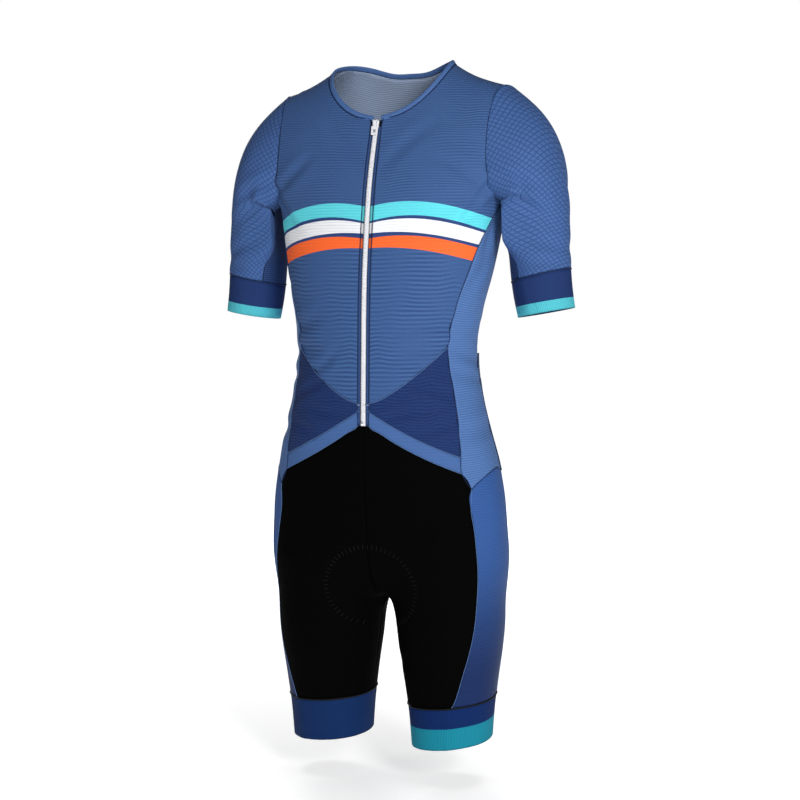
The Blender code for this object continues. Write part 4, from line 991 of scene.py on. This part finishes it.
TOOTH_PITCH = 0.0016
TOOTH_SIZE = (0.0044, 0.0010, 0.0012)
TOOTH_LIFT = 0.35
TOOTH_STAGGER = 0.0004
EDGE_ROUNDING = 0.25
ZIP_TOP = -0.0515
ZIP_FOOT = -0.4300
STOP_SIZE = (0.0056, 0.0016, 0.0026)
STOP_DROP = 0.0022
STOP_LIFT = 0.0006
# Moulded polyacetal: clean cool white, smooth enough for small soft highlights on each tooth
moulded_plastic = bpy.data.materials.new("white_moulded_plastic")
moulded_plastic.use_nodes = True
shader = moulded_plastic.node_tree.nodes["Principled BSDF"]
shader.inputs["Base Color"].default_value = linear("#F3F4F8")
shader.inputs["Roughness"].default_value = 0.35


def moulded_block(name, size):
    """A small block with rounded edges, in the zip's plastic."""
    bpy.ops.object.select_all(action="DESELECT")
    bpy.ops.mesh.primitive_cube_add(size=1.0)
    block = bpy.context.view_layer.objects.active
    block.name = name
    block.data.name = name
    bpy.ops.object.mode_set(mode="EDIT")
    bpy.ops.transform.resize(value=size, center_override=(0.0, 0.0, 0.0))
    bpy.ops.object.mode_set(mode="OBJECT")
    rounding = block.modifiers.new("rounding", "BEVEL")
    rounding.width = min(size) * EDGE_ROUNDING
    rounding.segments = 1
    bpy.ops.object.modifier_apply(modifier=rounding.name)
    block.data.materials.append(moulded_plastic)
    return block


tape_skin = BVHTree.FromObject(tape, bpy.context.evaluated_depsgraph_get())


def on_tape(z):
    """The point and the normal of the tape's face at a height."""
    return tape_skin.ray_cast(Vector((0.0, IN_FRONT, z)), BACKWARD)[:2]


first_tooth = moulded_block("zip_teeth", TOOTH_SIZE)
teeth = [first_tooth]
for number in range(int((ZIP_TOP - ZIP_FOOT) / TOOTH_PITCH)):
    hit, normal = on_tape(ZIP_TOP - number * TOOTH_PITCH)
    if number:
        teeth.append(bpy.data.objects.new("zip_tooth", first_tooth.data.copy()))
        bpy.context.collection.objects.link(teeth[-1])
    shift = TOOTH_STAGGER if number % 2 else -TOOTH_STAGGER
    teeth[-1].location = hit + normal * (TOOTH_SIZE[1] * TOOTH_LIFT) + Vector((shift, 0.0, 0.0))
    teeth[-1].rotation_euler = (math.atan2(-normal.z, -normal.y), 0.0, 0.0)
bpy.ops.object.select_all(action="DESELECT")
for tooth in teeth:
    tooth.select_set(True)
bpy.context.view_layer.objects.active = first_tooth
bpy.ops.object.join()
bpy.ops.object.transform_apply(location=True, rotation=True, scale=True)
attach(first_tooth, PIECE_BODY)
stop = moulded_block("zip_bottom_stop", STOP_SIZE)
hit, normal = on_tape(ZIP_FOOT - STOP_DROP)
stop.location = hit + normal * STOP_LIFT
select_only(stop)
bpy.ops.object.transform_apply(location=True, rotation=True, scale=True)
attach(stop, PIECE_BODY)

# White lacquer over cast zinc: smooth, with a faint unevenness in its gloss
lacquer = bpy.data.materials.new("white_lacquered_zinc")
lacquer.use_nodes = True
tree = lacquer.node_tree
place = add_node(tree, "TexCoord").outputs["Object"]
cloud = grain(tree, place, 0.004)
gloss = add_node(tree, "MapRange", {}, {"Value": cloud, "To Min": 0.22, "To Max": 0.38}).outputs[0]
shader = tree.nodes["Principled BSDF"]
shader.inputs["Base Color"].default_value = linear("#E6E8EC")
tree.links.new(gloss, shader.inputs["Roughness"])
for node in ("zip_slider", "zip_pull"):
    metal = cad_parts[node]
    metal.data.materials.clear()
    metal.data.materials.append(lacquer)

# Floor and light
# A plain pale paper floor under a white studio, with broad soft light from the front.
FLOOR = -0.895
FLOOR_SIZE = 30.0
# Matt white paper, which glows more with its distance from the suit, so no edge shows. The suit
# is lit by an even, fainter glow.
NEAR_FLOOR = 0.9
FAR_FLOOR = 2.6
NEAR_GLOW = 0.34
FLOOR_GLOW = 0.2
paper = bpy.data.materials.new("pale_backdrop_paper")
paper.use_nodes = True
tree = paper.node_tree
place = add_node(tree, "TexCoord").outputs["Object"]
away = add_node(tree, "VectorMath", {"operation": "LENGTH"}, {0: place}).outputs["Value"]
glow = add_node(tree, "MapRange", {"interpolation_type": "SMOOTHSTEP"},
                {"Value": away, "From Min": NEAR_FLOOR, "From Max": FAR_FLOOR,
                 "To Min": NEAR_GLOW, "To Max": 1.0}).outputs["Result"]
looked_at = add_node(tree, "LightPath").outputs["Is Camera Ray"]
glow = add_node(tree, "Mix", {}, {0: looked_at, 2: FLOOR_GLOW, 3: glow}).outputs[0]
shader = tree.nodes["Principled BSDF"]
shader.inputs["Base Color"].default_value = linear("#F4F4F4")
shader.inputs["Roughness"].default_value = 0.9
shader.inputs["Emission Color"].default_value = linear("#FFFFFF")
tree.links.new(glow, shader.inputs["Emission Strength"])
bpy.ops.object.select_all(action="DESELECT")
bpy.ops.mesh.primitive_plane_add(size=FLOOR_SIZE, location=(0.0, 0.0, FLOOR))
backdrop = bpy.context.view_layer.objects.active
backdrop.name = "backdrop"
backdrop.data.materials.append(paper)


def soft_light(name, place, aim, size, power):
    lamp = bpy.data.lights.new(name, "AREA")
    lamp.shape = "SQUARE"
    lamp.size = size
    lamp.energy = power
    light = bpy.data.objects.new(name, lamp)
    light.location = place
    light.rotation_euler = (Vector(aim) - Vector(place)).to_track_quat("-Z", "Y").to_euler()
    bpy.context.collection.objects.link(light)
    return light


lights = [soft_light("key_light", (2.1, -2.4, 0.6), (0.0, 0.0, -0.2), size=0.9, power=75.0),
          soft_light("front_light", (0.2, -3.2, 0.3), (0.0, 0.0, -0.3), size=0.9, power=14.0),
          soft_light("back_light", (-1.6, 2.6, 0.5), (0.0, 0.0, -0.3), size=1.2, power=42.0),
          soft_light("floor_light", (0.0, 0.2, 2.6), (0.0, 0.2, -0.9), size=2.6, power=60.0)]
# The floor's own lamp from above leaves the suit alone
backdrop_only = bpy.data.collections.new("backdrop_only")
backdrop_only.objects.link(backdrop)
lights[-1].light_linking.receiver_collection = backdrop_only

# The studio's air is white to look at and only a dim fill light on the suit
FILL_LIGHT = 0.07
world = bpy.data.worlds.new("studio")
world.use_nodes = True
tree = world.node_tree
looked_at = add_node(tree, "LightPath").outputs["Is Camera Ray"]
strength = add_node(tree, "MapRange", {}, {"Value": looked_at, "To Min": FILL_LIGHT, "To Max": 1.0})
tree.nodes["Background"].inputs["Color"].default_value = linear("#FFFFFF")
tree.links.new(strength.outputs["Result"], tree.nodes["Background"].inputs["Strength"])
bpy.context.scene.world = world
bpy.context.scene.view_settings.view_transform = "Standard"

# Camera
# Close to the photograph: 20 degrees to the wearer's left of straight ahead, 2.1 m away.
AZIMUTH = math.radians(20.0)
DISTANCE = 2.1
CAMERA_HEIGHT = -0.321
PITCH = math.radians(1.15)
camera_data = bpy.data.cameras.new("camera")
camera_data.lens = 72.7
camera_data.shift_x = 0.010
camera_data.shift_y = -0.0408
camera = bpy.data.objects.new("camera", camera_data)
camera.location = (math.sin(AZIMUTH) * DISTANCE, -math.cos(AZIMUTH) * DISTANCE, CAMERA_HEIGHT)
camera.rotation_euler = (math.radians(90.0) - PITCH, 0.0, AZIMUTH)
bpy.context.collection.objects.link(camera)
bpy.context.scene.camera = camera
